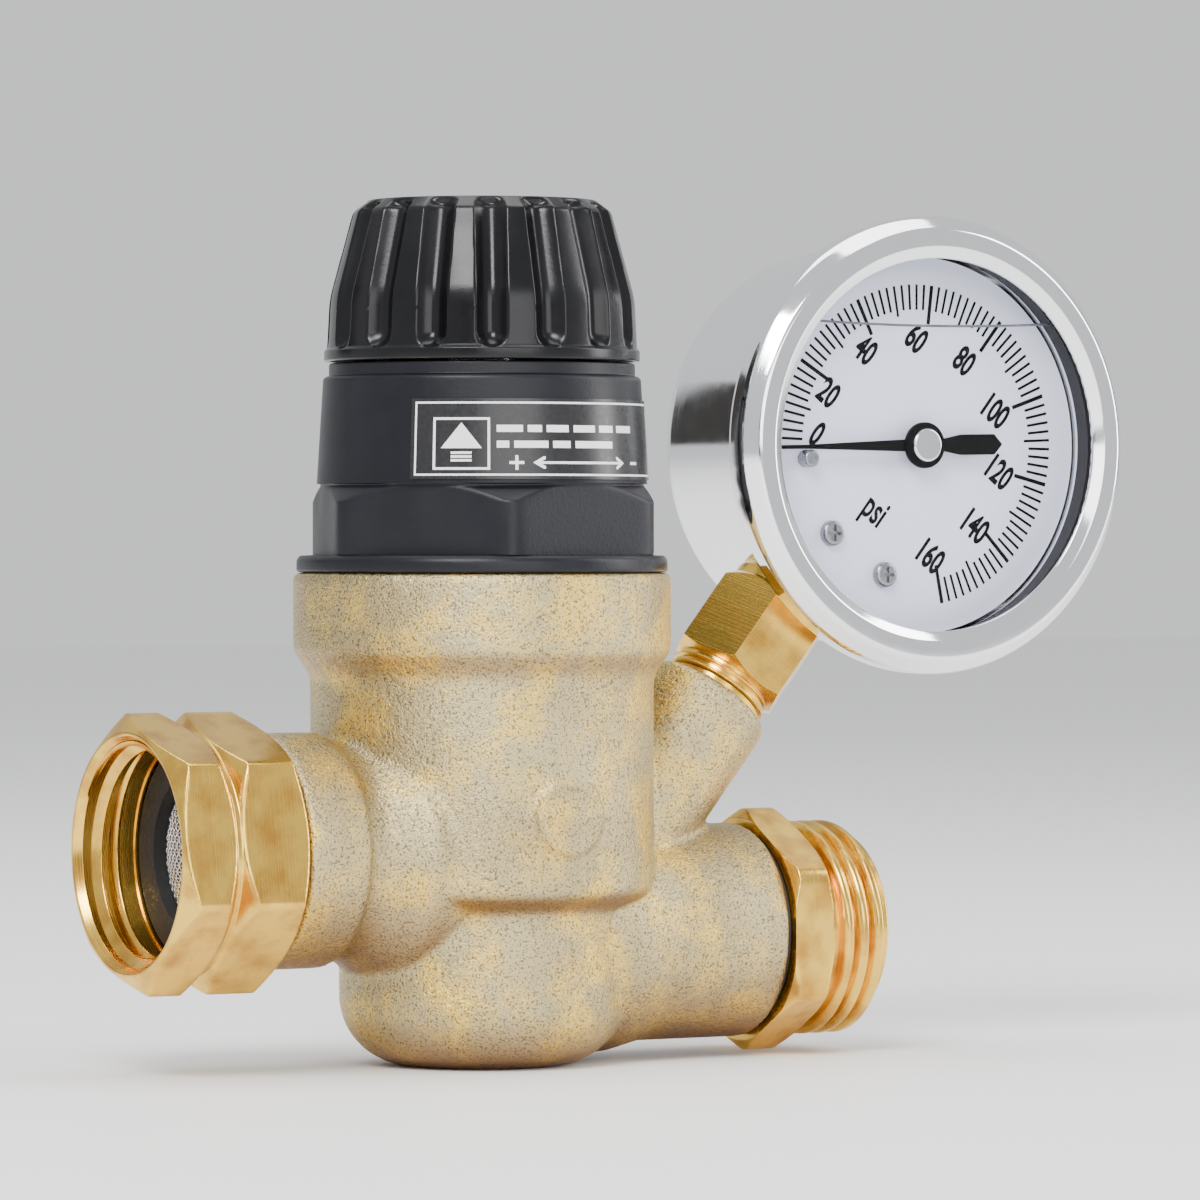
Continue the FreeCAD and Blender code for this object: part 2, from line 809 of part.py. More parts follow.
def make_stop_pin():
    """Peg in the dial that the pointer rests on at zero."""
    shoulder = dial_face + rest_gap
    peg = turned([
        (0, 7.6),
        (0.5, 7.6),
        (0.5, shoulder),
        (1.1, shoulder),
        (1.1, 9.9, 0.3),
        (0, 9.9),
    ])
    place = polar(16.8, stop_angle)
    peg.translate(Vector(place[0], place[1], 0))
    return peg


def make_pointer():
    """Tapered needle with a spade tail, pointing at the zero mark."""
    blade = prism([
        (20.4, 0.16), (3.0, 0.75), (-3.0, 0.8), (-5.6, 1.3), (-10.6, 1.3), (-11.8, 0),
        (-10.6, -1.3), (-5.6, -1.3), (-3.0, -0.8), (3.0, -0.75), (20.4, -0.16),
    ], 9.6, 9.9)
    blade = blade.fuse(drum(2.9, 9.6, 10.1)).cut(drum(0.62, 9, 11))
    blade.rotate(Vector(), Vector(0, 0, 1), zero_angle)
    return blade.removeSplitter()


def make_pointer_cap():
    return turned([(0, 10.1), (2.1, 10.1), (2.1, 10.8, 0.3), (0, 10.8)]).cut(drum(0.62, 9, 10.5))


def make_pinion():
    """Pointer shaft with its pinion."""
    return drum(0.6, 1.7, 10.3).fuse(drum(pinion_radius, 3.4, 4.6))


pivot_place = along_stem(sector_radius + pinion_radius - 0.1, 1.5)
tail_mid_place = along_stem(10.3, 8.1)
tube_tip_place = polar(tube_radius, stem_turn + 108)


def turned_about(place, centre, degrees):
    """A point turned about a centre in the dial plane."""
    across, up = place[0] - centre[0], place[1] - centre[1]
    cosine, sine = math.cos(math.radians(degrees)), math.sin(math.radians(degrees))
    return centre[0] + across * cosine - up * sine, centre[1] + across * sine + up * cosine


sector_half_travel = scale_sweep / gear_ratio / 2
tail_place = turned_about(tail_mid_place, pivot_place, -sector_half_travel)


def make_sector():
    """Quadrant whose rim rolls on the pinion, with a tail for the link, set at its zero position."""
    facing = math.degrees(math.atan2(-pivot_place[1], -pivot_place[0])) - sector_half_travel
    rim = turned([(5.6, 3.6), (sector_radius, 3.6), (sector_radius, 4.4), (5.6, 4.4)], 44)
    rim.rotate(Vector(), Vector(0, 0, 1), facing - 22)
    spokes = [bar((0, 0), polar(6.2, facing + side), 1.1, 3.6, 4.4) for side in (-19, 19)]
    tail = bar((0, 0), (tail_place[0] - pivot_place[0], tail_place[1] - pivot_place[1]), 1.5, 3.6, 4.4)
    pin = round_at(0.45, (tail_place[0] - pivot_place[0], tail_place[1] - pivot_place[1]), 2.95, 4.0)
    shape = rim.fuse(spokes + [tail, drum(1.5, 3.4, 4.7), drum(0.55, 1.9, 6.2), pin])
    shape.translate(Vector(pivot_place[0], pivot_place[1], 0))
    return shape.removeSplitter()


def make_link():
    rod = bar(tail_place, tube_tip_place, 1.2, 3.1, 3.5)
    rod = rod.fuse([round_at(1.0, tail_place, 3.1, 3.5), round_at(1.0, tube_tip_place, 3.1, 3.5)])
    return rod.cut(round_at(0.5, tail_place, 2, 4.5)).removeSplitter()


def make_bourdon_tube():
    """Flattened bronze tube bent round the case, soldered into the block at one end."""
    start = stem_turn - 29
    section = [(tube_radius - 1.2, -6.5, 1.1), (tube_radius + 1.2, -6.5, 1.1), (tube_radius + 1.2, 0.5, 1.1),
               (tube_radius - 1.2, 0.5, 1.1)]
    bore = [(tube_radius - 0.8, -6.1, 0.7), (tube_radius + 0.8, -6.1, 0.7), (tube_radius + 0.8, 0.1, 0.7),
            (tube_radius - 0.8, 0.1, 0.7)]
    sweep = 360 - 108 - 29
    tube = turned(section, sweep).cut(turned(bore, sweep))
    tube.rotate(Vector(), Vector(0, 0, 1), start - sweep)
    return tube


def make_tube_tip():
    """Plug that closes the tube and carries the far end of the link."""
    end = stem_turn + 108
    plug = turned([
        (tube_radius - 1.6, -6.9),
        (tube_radius + 1.6, -6.9),
        (tube_radius + 1.6, 3.0),
        (tube_radius - 1.6, 3.0),
    ], 9)
    plug.rotate(Vector(), Vector(0, 0, 1), end - 9.2)
    return plug


def plate_outline():
    return [along_stem(a, b) for a, b in ((-5, -4.6), (-5, 4.6), (14.2, 4.9), (14.2, -4.9))]


pillar_places = [along_stem(-3.6, -3.4), along_stem(-3.6, 3.4), along_stem(9.6, -3.8)]


def make_movement_plate(bottom, top, screw_hole_radius):
    plate = prism(plate_outline(), bottom, top)
    holes = [drum(0.65, bottom - 1, top + 1), round_at(0.6, pivot_place, bottom - 1, top + 1)]
    holes += [round_at(screw_hole_radius, place, bottom - 1, top + 1) for place in movement_screw_places]
    return plate.cut(holes)


def make_movement_pillars():
    bottom = 2.8 + rest_gap
    top = 5.4 - rest_gap
    return Part.makeCompound([round_at(0.9, place, bottom, top) for place in pillar_places])


def make_movement_screws():
    screws = []
    for place in movement_screw_places:
        screw = round_at(1.3, place, 2.8 + rest_gap, 3.7).fuse(round_at(0.75, place, -2.5, 3.2))
        slot = block(place[0] - 2, place[0] + 2, place[1] - 0.2, place[1] + 0.2, 3.3, 4)
        screws.append(screw.cut(slot))
    return Part.makeCompound(screws)


def make_hairspring():
    """Flat spiral around the pinion shaft."""
    turns, inner, pitch, thickness, steps = 5, 1.3, 0.5, 0.1, 24
    angles = [2 * math.pi * turns * step / (steps * turns) for step in range(steps * turns + 1)]
    radii = [inner + pitch * angle / (2 * math.pi) for angle in angles]
    near = [Vector(r * math.cos(a), r * math.sin(a), 4.75) for r, a in zip(radii, angles)]
    outer_radii = [radius + thickness for radius in radii]
    far = [Vector(r * math.cos(a), r * math.sin(a), 4.75) for r, a in zip(outer_radii, angles)]
    inside, outside = Part.BSplineCurve(), Part.BSplineCurve()
    inside.interpolate(near)
    outside.interpolate(far)
    ends = [Part.makeLine(near[-1], far[-1]), Part.makeLine(far[0], near[0])]
    band = Part.Wire([inside.toShape(), ends[0], outside.toShape(), ends[1]])
    return Part.Face(band).extrude(Vector(0, 0, 0.5))


# ---- Every piece by name ----

body_pieces = {
    "valve_body": make_valve_body(),
    "seat_ring": make_seat_ring(),
    "stem_guide": make_stem_guide(),
    "guide_o_ring": make_o_ring(7.05, 0.85, 39.1),
    "stem_o_ring": make_o_ring(2.52, 0.85, 39.1),
    "slip_ring": make_slip_ring(),
    "bonnet": make_bonnet(),
    "bonnet_label": make_bonnet_label(),
    "diaphragm": make_diaphragm(),
}
moving_pieces = {
    "valve_stem": make_valve_stem(),
    "disc_holder": make_disc_holder(),
    "valve_disc": make_valve_disc(),
    "disc_nut": make_disc_nut(),
    "lower_washer": make_lower_washer(),
    "diaphragm_plate": make_diaphragm_plate(),
    "diaphragm_nut": make_diaphragm_nut(),
    "main_spring": make_main_spring(),
    "spring_nut": make_spring_nut(),
    "adjusting_screw": make_adjusting_screw(),
    "thrust_washer": make_thrust_washer(),
    "knob": make_knob(),
    "knob_hub": make_knob_hub(),
    "hub_clip": make_hub_clip(),
}
inlet_pieces = {
    "inlet_tailpiece": make_inlet_tailpiece(),
    "swivel_nut": make_swivel_nut(),
    "inlet_washer": make_inlet_washer(),
    "filter_screen": make_filter_screen(),
}
outlet_pieces = {
    "outlet_seal": make_outlet_seal(),
    "outlet_adapter": make_outlet_adapter(),
}
gauge_pieces = {
    "fill_plug": make_fill_plug(),
    "bezel": make_bezel(),
    "bezel_gasket": make_bezel_gasket(),
    "lens": make_lens(),
    "dial": make_dial(),
    "dial_screws": make_dial_screws(),
    "stop_pin": make_stop_pin(),
    "pointer": make_pointer(),
    "pointer_cap": make_pointer_cap(),
    "pinion": make_pinion(),
    "sector": make_sector(),
    "link": make_link(),
    "bourdon_tube": make_bourdon_tube(),
    "tube_tip": make_tube_tip(),
    "movement_back_plate": make_movement_plate(2.0 + rest_gap, 2.8, 0.8),
    "movement_front_plate": make_movement_plate(5.4, 6.2, 1.5),
    "movement_pillars": make_movement_pillars(),
    "movement_screws": make_movement_screws(),
    "hairspring": make_hairspring(),
}

pieces = {**body_pieces, **moving_pieces}
pieces.update({name: placed(shape, inlet) for name, shape in inlet_pieces.items()})
pieces.update({name: placed(shape, outlet) for name, shape in outlet_pieces.items()})
pieces.update({name: placed(shape, gauge) for name, shape in gauge_pieces.items()})
pieces["gauge_stem"] = make_gauge_stem()
pieces["gauge_case"] = make_gauge_case()

os.makedirs("parts", exist_ok=True)
for name, shape in pieces.items():
    shape.exportStep(f"parts/{name}.step")
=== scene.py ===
"""Adjustable water pressure regulator with a swivel inlet, a hose-thread outlet and a dial gauge.

Every shape is given in millimetres in the frame of its own sub-assembly and placed in metres.
"""
import logging
import math
from dataclasses import dataclass, field
from enum import Enum
from typing import Callable, Iterable, Sequence

import bmesh
import bpy
import numpy as np
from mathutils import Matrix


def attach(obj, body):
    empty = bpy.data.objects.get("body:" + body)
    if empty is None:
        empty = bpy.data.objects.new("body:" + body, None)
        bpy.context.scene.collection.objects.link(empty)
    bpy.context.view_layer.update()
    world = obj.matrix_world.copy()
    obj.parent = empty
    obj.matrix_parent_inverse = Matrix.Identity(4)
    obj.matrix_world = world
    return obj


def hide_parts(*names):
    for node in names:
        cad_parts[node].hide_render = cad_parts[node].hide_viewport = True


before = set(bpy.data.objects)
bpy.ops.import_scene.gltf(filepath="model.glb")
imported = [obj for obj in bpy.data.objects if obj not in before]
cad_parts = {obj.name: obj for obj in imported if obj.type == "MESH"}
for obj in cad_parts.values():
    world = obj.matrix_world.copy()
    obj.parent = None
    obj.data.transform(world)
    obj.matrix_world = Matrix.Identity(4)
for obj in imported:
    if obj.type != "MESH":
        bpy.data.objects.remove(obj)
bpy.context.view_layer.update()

MM = 0.001
HOSE_PITCH = 2.209
Array = np.ndarray
Corner = Sequence[float]
Shaper = Callable[[Array, Array, Array], Array]
log = logging.getLogger("regulator")


# ---- Frames and meshes ----

@dataclass(frozen=True)
class Frame:
    """Axes of a sub-assembly, with its origin in millimetres."""

    origin: tuple[float, float, float]
    right: tuple[float, float, float]
    up: tuple[float, float, float]
    out: tuple[float, float, float]

    def place(self, points: Array) -> Array:
        """World position in metres: origin + x times right + y times up + z times out.

        Args:
            points: Local points in millimetres, with three numbers in the last axis.

        Returns:
            The points in metres, in the row frame.
        """
        axes = np.array([self.right, self.up, self.out])
        return (points @ axes + np.array(self.origin)) * MM


STEM_ANGLE = math.radians(51.0)
STEM_X, STEM_Z = math.cos(STEM_ANGLE), math.sin(STEM_ANGLE)
BODY = Frame((0, 0, 0), (1, 0, 0), (0, 1, 0), (0, 0, 1))
INLET = Frame((0, 0, 26.8), (0, 0, 1), (0, 1, 0), (-1, 0, 0))
OUTLET = Frame((0, 0, 15.5), (0, 0, -1), (0, 1, 0), (1, 0, 0))
STEM = Frame((33.0, 0, 44.6), (STEM_Z, 0, -STEM_X), (0, 1, 0), (STEM_X, 0, STEM_Z))
GAUGE = Frame((33.0 + 40.8 * STEM_X, 0, 44.6 + 40.8 * STEM_Z), (1, 0, 0), (0, 0, 1), (0, -1, 0))


def profile(corners: Sequence[Corner], step: float = 0.6, arc: int = 6, closed: bool = True) -> Array:
    """Outline through corners, with each rounded corner replaced by a circular arc.

    Args:
        corners: Radius, height and, if rounded, a rounding radius, in millimetres.
        step: Longest spacing of points along a sloping run; level and upright runs need none.
        arc: Segments in each rounded corner.
        closed: Whether the last corner joins the first.

    Returns:
        Points of radius and height, one row each.
    """
    points = [np.array(corner[:2], float) for corner in corners]
    count = len(points)
    rounded: list[Array] = []
    for index, corner in enumerate(corners):
        here = points[index]
        if len(corner) < 3:
            rounded.append(here[None])
            continue
        back, ahead = points[index - 1] - here, points[(index + 1) % count] - here
        back, ahead = back / np.linalg.norm(back), ahead / np.linalg.norm(ahead)
        half = math.acos(float(np.clip(back @ ahead, -1, 1))) / 2
        middle = (back + ahead) / np.linalg.norm(back + ahead)
        centre = here + middle * corner[2] / math.sin(half)
        first = here + back * corner[2] / math.tan(half) - centre
        last = here + ahead * corner[2] / math.tan(half) - centre
        turn = math.atan2(first[0] * last[1] - first[1] * last[0], float(first @ last))
        angles = np.linspace(0, turn, arc + 1)[:, None]
        side = np.array([-first[1], first[0]])
        rounded.append(centre + np.cos(angles) * first + np.sin(angles) * side)
    outline: list[Array] = []
    last_index = count if closed else count - 1
    for index in range(count):
        outline.append(rounded[index])
        if index >= last_index:
            continue
        start, end = rounded[index][-1], rounded[(index + 1) % count][0]
        sloping = float(np.abs(end - start).min()) > 1e-6
        pieces = max(1, math.ceil(float(np.linalg.norm(end - start)) / step)) if sloping else 1
        fractions = np.linspace(0, 1, pieces + 1)[1:-1, None]
        outline.append(start + (end - start) * fractions)
    return np.concatenate(outline)


def grid_faces(rows: int, columns: int, wrap_rows: bool, wrap_columns: bool) -> Array:
    """Quads of a grid of points whose ends may join.

    Args:
        rows: Number of rows.
        columns: Number of columns.
        wrap_rows: Whether the last row joins the first.
        wrap_columns: Whether the last column joins the first.

    Returns:
        Four vertex numbers for each quad.
    """
    row = np.arange(rows if wrap_rows else rows - 1)[:, None]
    column = np.arange(columns if wrap_columns else columns - 1)[None]
    below, beside = (row + 1) % rows, (column + 1) % columns
    row, below = row * columns, below * columns
    corners = [row + column, row + beside, below + beside, below + column]
    return np.stack(corners, -1).reshape(-1, 4)


def facing_out(points: Array, faces: Array) -> Array:
    """Faces in the order that gives the closed surface a positive volume.

    The volume is a sixth of the sum, over two triangles for each quad, of a . (b x c).

    Args:
        points: Vertex positions.
        faces: Quads.

    Returns:
        The same quads, reversed if they pointed inwards.
    """
    a, b, c, d = (points[faces[:, index]] for index in range(4))
    volume = np.einsum("ij,ij->", a, np.cross(b, c)) + np.einsum("ij,ij->", a, np.cross(c, d))
    return faces if volume > 0 else faces[:, ::-1]


def new_object(name: str, data: bpy.types.ID) -> bpy.types.Object:
    """Object at the origin, linked to the scene."""
    made = bpy.data.objects.new(name, data)
    bpy.context.scene.collection.objects.link(made)
    return made


def merge_doubles(mesh: bpy.types.Mesh, distance: float, thinnest: float = 0.0,
                  turn_out: bool = False) -> None:
    """Joins vertices that lie together.

    Args:
        mesh: The mesh to clean.
        distance: Vertices this close, in metres, are one.
        thinnest: Faces and edges smaller than this are dissolved, where it isn't 0.
        turn_out: Whether the faces are then turned outwards.
    """
    shape = bmesh.new()
    shape.from_mesh(mesh)
    bmesh.ops.remove_doubles(shape, verts=shape.verts, dist=distance)
    if thinnest:
        bmesh.ops.dissolve_degenerate(shape, edges=shape.edges, dist=thinnest)
    if turn_out:
        bmesh.ops.recalc_face_normals(shape, faces=shape.faces)
    shape.to_mesh(mesh)
    shape.free()


def make_mesh(name: str, points: Array, faces: Array, crease: float = 32.0) -> bpy.types.Object:
    """Object at the origin with the given surface, its doubles merged and its hard edges kept sharp.

    Args:
        name: Piece name.
        points: Vertices in metres.
        faces: Quads.
        crease: Edges that turn by more than this many degrees are sharp.

    Returns:
        The new object.
    """
    mesh = bpy.data.meshes.new(name)
    mesh.vertices.add(len(points))
    mesh.vertices.foreach_set("co", points.astype(np.float32).ravel())
    mesh.loops.add(faces.size)
    mesh.loops.foreach_set("vertex_index", faces.astype(np.int32).ravel())
    mesh.polygons.add(len(faces))
    mesh.polygons.foreach_set("loop_start", np.arange(0, faces.size, 4, dtype=np.int32))
    mesh.update(calc_edges=True)
    merge_doubles(mesh, 1e-7, 1e-8)
    mesh.polygons.foreach_set("use_smooth", np.ones(len(mesh.polygons), bool))
    mesh.set_sharp_from_angle(angle=math.radians(crease))
    return new_object(name, mesh)


def same_radius(radius: Array, height: Array, angle: Array) -> Array:
    """Leaves a surface of revolution as it is."""
    return radius + 0 * height + 0 * angle


def lathe(name: str, place: Frame, outline: Array, columns: int = 192, shaper: Shaper = same_radius,
          crease: float = 32.0) -> bpy.types.Object:
    """Closed surface (r cos a, r sin a, h), where r is the outline's radius after the shaper.

    Args:
        name: Piece name.
        place: Frame whose out axis is the axis of revolution.
        outline: Closed outline of radius and height.
        columns: Points around the axis.
        shaper: Radius as a function of radius, height and angle.
        crease: Sharp edge limit in degrees.

    Returns:
        The new object.
    """
    angle = np.linspace(0, 2 * np.pi, columns, endpoint=False)[None]
    height = outline[:, 1:2]
    radius = shaper(outline[:, 0:1], height, angle)
    points = np.stack([radius * np.cos(angle), radius * np.sin(angle), height + 0 * radius], -1)
    points = place.place(points.reshape(-1, 3))
    faces = facing_out(points, grid_faces(len(outline), columns, True, True))
    return make_mesh(name, points, faces, crease)


def hexagonal(across_flats: float, first_corner: float, sharpness: float = 110.0) -> Shaper:
    """Shaper that trims a turned blank to a hexagon with slightly softened corners.

    The hexagon's radius is (|cos a1|^p + |cos a2|^p + |cos a3|^p)^(-1/p) times half the flats, with a1 to
    a3 measured from its three pairs of flats. The blank and the hexagon join by the same rule.

    Args:
        across_flats: Width over two flats in millimetres.
        first_corner: Angle of one corner in degrees.
        sharpness: The power p; higher is crisper.

    Returns:
        The shaper.
    """
    normals = np.radians(first_corner + 30 + np.array([0, 60, 120]))

    def trim(radius: Array, height: Array, angle: Array) -> Array:
        """Smallest of the blank's radius and the hexagon's."""
        flats = np.abs(np.cos(angle[..., None] - normals)) ** sharpness
        limit = across_flats / 2 * flats.sum(-1) ** (-1 / sharpness)
        safe = np.maximum(radius, 1e-3)
        both = ((safe / limit) ** sharpness + 1) ** (-1 / sharpness)
        return radius * both

    return trim


def ridge(name: str, place: Frame, root: float, crest: float, start: float, end: float, pitch: float,
          base: float = 0.82, flat: float = 0.16) -> bpy.types.Object:
    """Right-handed screw thread: a rounded section carried along a helix, fading out at both ends.

    Args:
        name: Piece name.
        place: Frame whose out axis is the thread's axis.
        root: Radius the thread stands on, in millimetres.
        crest: Radius of its crest, larger than root outside and smaller inside.
        start: Height of the first turn.
        end: Height of the last turn.
        pitch: Height gained in one turn.
        base: Half width at the root as a share of half the pitch.
        flat: Half width at the crest as a share of half the pitch.

    Returns:
        The new object.
    """
    turns = (end - start) / pitch
    steps = int(turns * 120)
    travel = np.linspace(0, 1, steps)[:, None]
    angle = travel * turns * 2 * np.pi
    fade = np.clip(np.minimum(travel, 1 - travel) * turns * 3, 0, 1)
    fade = fade * fade * (3 - 2 * fade)
    half = np.array([0.5 * flat, flat, 0.5 * (base + flat), base])
    across = np.concatenate([-half[::-1], half])
    rise = np.array([-0.04, 0.5, 0.93, 1.0, 1.0, 0.93, 0.5, -0.04])
    radius = root + (crest - root) * rise[None] * fade
    height = start + travel * (end - start) + across[None] * pitch / 2 * (0.35 + 0.65 * fade)
    height = np.clip(height, start - pitch / 2, end + pitch / 2)
    points = np.stack([radius * np.cos(angle), radius * np.sin(angle), height + 0 * radius], -1)
    closing = points.mean(1, keepdims=True)
    points[[0, -1]] = np.broadcast_to(closing[[0, -1]], points[[0, -1]].shape)
    points = place.place(points.reshape(-1, 3))
    faces = facing_out(points, grid_faces(steps, len(across), False, True))
    return make_mesh(name, points, faces, 60.0)


# ---- Shader graphs ----

class Wire:
    """A shader value; arithmetic on it adds Math nodes."""

    def __init__(self, graph: "Graph", socket: bpy.types.NodeSocket) -> None:
        """Wraps one output socket of a graph."""
        self.graph = graph
        self.socket = socket

    def math(self, operation: str, *others: "Wire | float", flipped: bool = False) -> "Wire":
        """Result of a Math node on this value.

        Args:
            operation: The node's operation.
            others: Further operands.
            flipped: Whether this value comes second.

        Returns:
            The result.
        """
        operands = (*others, self) if flipped else (self, *others)
        return self.graph.add("ShaderNodeMath", {"operation": operation}, dict(enumerate(operands)))

    def __add__(self, other: "Wire | float") -> "Wire":
        """Sum."""
        return self.math("ADD", other)

    __radd__ = __add__

    def __sub__(self, other: "Wire | float") -> "Wire":
        """Difference."""
        return self.math("SUBTRACT", other)

    def __rsub__(self, other: "Wire | float") -> "Wire":
        """Difference from a number."""
        return self.math("SUBTRACT", other, flipped=True)

    def __mul__(self, other: "Wire | float") -> "Wire":
        """Product."""
        return self.math("MULTIPLY", other)

    __rmul__ = __mul__

    def __gt__(self, other: "Wire | float") -> "Wire":
        """1 where this is the larger."""
        return self.math("GREATER_THAN", other)

    def __lt__(self, other: "Wire | float") -> "Wire":
        """1 where this is the smaller."""
        return self.math("LESS_THAN", other)

    def __abs__(self) -> "Wire":
        """Size without sign."""
        return self.math("ABSOLUTE")

    def __or__(self, other: "Wire") -> "Wire":
        """Union of two masks."""
        return self.math("MAXIMUM", other)

    def __and__(self, other: "Wire") -> "Wire":
        """Overlap of two masks."""
        return self.math("MINIMUM", other)


class Graph:
    """A material's node tree with one way of adding a node."""

    def __init__(self, name: str) -> None:
        """Starts an empty material of that name."""
        self.material = bpy.data.materials.new(name)
        self.material.use_nodes = True
        self.tree = self.material.node_tree
        self.tree.nodes.clear()

    @staticmethod
    def pick(sockets: Iterable[bpy.types.NodeSocket], key: "int | str") -> bpy.types.NodeSocket:
        """Socket with that number, identifier or name."""
        listed = list(sockets)
        if isinstance(key, int):
            return listed[key]
        matching = [s for s in listed if s.identifier == key] or [s for s in listed if s.name == key]
        return matching[0]

    def add(self, kind: str, settings: "dict | None" = None, inputs: "dict | None" = None,
            output: "int | str" = 0) -> Wire:
        """Adds a node.

        Args:
            kind: Node type.
            settings: Properties set first; stops is a ramp's list of position and colour.
            inputs: Values or wires for its sockets.
            output: The output to return.

        Returns:
            That output.
        """
        node = self.tree.nodes.new(kind)
        for key, value in (settings or {}).items():
            if key == "stops":
                for _ in range(len(value) - 2):
                    node.color_ramp.elements.new(0.5)
                for element, (position, colour) in zip(node.color_ramp.elements, value):
                    element.position, element.color = position, (*colour, 1)
            else:
                setattr(node, key, value)
        for key, value in (inputs or {}).items():
            socket = self.pick(node.inputs, key)
            if isinstance(value, Wire):
                self.tree.links.new(value.socket, socket)
            else:
                socket.default_value = value
        return Wire(self, self.pick(node.outputs, output) if len(node.outputs) else None)

    def place(self) -> Wire:
        """Object coordinates."""
        return self.add("ShaderNodeTexCoord", output="Object")

    def axes(self, vector: Wire) -> tuple[Wire, Wire, Wire]:
        """X, Y and Z of a vector."""
        first = self.add("ShaderNodeSeparateXYZ", inputs={0: vector})
        return first, Wire(self, first.socket.node.outputs[1]), Wire(self, first.socket.node.outputs[2])

    def noise(self, scale: float, detail: float = 2.0, roughness: float = 0.5) -> Wire:
        """Fractal noise from 0 to 1 with features of 1/scale metres."""
        inputs = {"Vector": self.place(), "Scale": scale, "Detail": detail, "Roughness": roughness}
        return self.add("ShaderNodeTexNoise", {}, inputs)

    def along(self, direction: Sequence[float], scale: float, detail: float = 3.0) -> Wire:
        """Noise that varies along one direction only, as tool marks do."""
        reach = self.add("ShaderNodeVectorMath", {"operation": "DOT_PRODUCT"},
                         {0: self.place(), 1: tuple(direction)}, "Value")
        return self.add("ShaderNodeTexNoise", {"noise_dimensions": "1D"},
                        {"W": reach, "Scale": scale, "Detail": detail})

    def span(self, value: Wire, low: float, high: float, to_low: float, to_high: float) -> Wire:
        """Value carried from one range to another, kept inside it."""
        return self.add("ShaderNodeMapRange", {"clamp": True}, {
            "Value": value, "From Min": low, "From Max": high, "To Min": to_low, "To Max": to_high})

    def blend(self, factor: "Wire | float", first: "Wire | Sequence[float]",
              second: "Wire | Sequence[float]") -> Wire:
        """Colour between two others."""
        colours = [c if isinstance(c, Wire) else (*c, 1) for c in (first, second)]
        return self.add("ShaderNodeMix", {"data_type": "RGBA"}, {
            "Factor_Float": factor, "A_Color": colours[0], "B_Color": colours[1]}, "Result_Color")

    def bump(self, height: Wire, distance: float, strength: float = 1.0) -> Wire:
        """Normal from a height of 0 to 1 times a distance in metres."""
        inputs = {"Strength": strength, "Distance": distance, "Height": height}
        return self.add("ShaderNodeBump", {}, inputs, "Normal")

    def close(self, **inputs: "Wire | float | Sequence[float]") -> bpy.types.Material:
        """Ends the graph in a Principled shader.

        Args:
            inputs: Socket values, with underscores for the spaces in their names.

        Returns:
            The finished material.
        """
        named = {key.replace("_", " "): value for key, value in inputs.items()}
        shader = self.add("ShaderNodeBsdfPrincipled", {}, named)
        return self.output(shader)

    def output(self, shader: Wire) -> bpy.types.Material:
        """Ends the graph in any shader."""
        self.add("ShaderNodeOutputMaterial", {}, {"Surface": shader})
        return self.material


# ---- Finishes ----

class Lay(Enum):
    """Direction along which tool marks follow each other."""

    FLOW = (1.0, 0.0, 0.0)
    UPRIGHT = (0.0, 0.0, 1.0)
    DIAL = (0.0, 1.0, 0.0)
    GAUGE_STEM = (STEM_X, 0.0, STEM_Z)


class Finish:
    """A material made once and shared."""

    made: dict["Finish", bpy.types.Material] = {}

    def material(self) -> bpy.types.Material:
        """The material, made on first use."""
        if self not in Finish.made:
            Finish.made[self] = self.build(Graph(str(type(self).__name__)))
        return Finish.made[self]

    def build(self, graph: Graph) -> bpy.types.Material:
        """Fills the graph."""
        raise NotImplementedError


@dataclass(frozen=True)
class CastBrass(Finish):
    """Shot-blasted brass: dull khaki gold with brighter rubbed patches, a fine grain and painted shade on its
    undersides.
    """

    dull: tuple[float, float, float] = (0.56, 0.47, 0.26)
    bright: tuple[float, float, float] = (0.92, 0.62, 0.12)
    shade: tuple[float, float, float] = (0.38, 0.29, 0.14)
    # painted shade: dark reddish brown given to the skin that faces downwards, where shade falls under the
    # casting
    under: tuple[float, float, float] = (0.22, 0.075, 0.02)
    pit: tuple[float, float, float] = (0.10, 0.07, 0.03)

    def build(self, graph: Graph) -> bpy.types.Material:
        """Colours mixed by broad noise, with painted shade darkening the skin where it faces downwards, over
        a pitted grain.
        """
        grain = graph.noise(1300, 3.0, roughness=0.65)
        fine = graph.noise(3600, 2.0)
        broad = graph.noise(70, 3.0)
        patches = graph.span(graph.noise(150, 4.0), 0.46, 0.64, 0.0, 0.9)
        facing = graph.add("ShaderNodeNewGeometry", output="Normal")
        lean = graph.axes(facing)[2]
        colour = graph.blend(graph.span(broad, 0.35, 0.65, 0.0, 0.6), self.dull, self.shade)
        colour = graph.blend(patches * graph.span(grain, 0.35, 0.6, 0.3, 1.0), colour, self.bright)
        # painted shade mask: skin that faces downwards, loosened by broad noise, is blended towards the
        # painted underside shade colour
        below = graph.span(lean + broad * 0.5, 0.0, -0.75, 0.0, 0.85)
        colour = graph.blend(below, colour, self.under)
        colour = graph.blend(graph.span(fine, 0.47, 0.36, 0.0, 0.75), colour, self.pit)
        height = grain * 0.6 + fine * 0.4
        return graph.close(
            Base_Color=colour,
            Metallic=1.0,
            Roughness=graph.span(grain, 0.3, 0.7, 0.56, 0.34),
            Normal=graph.bump(height, 0.00034, 1.0),
        )


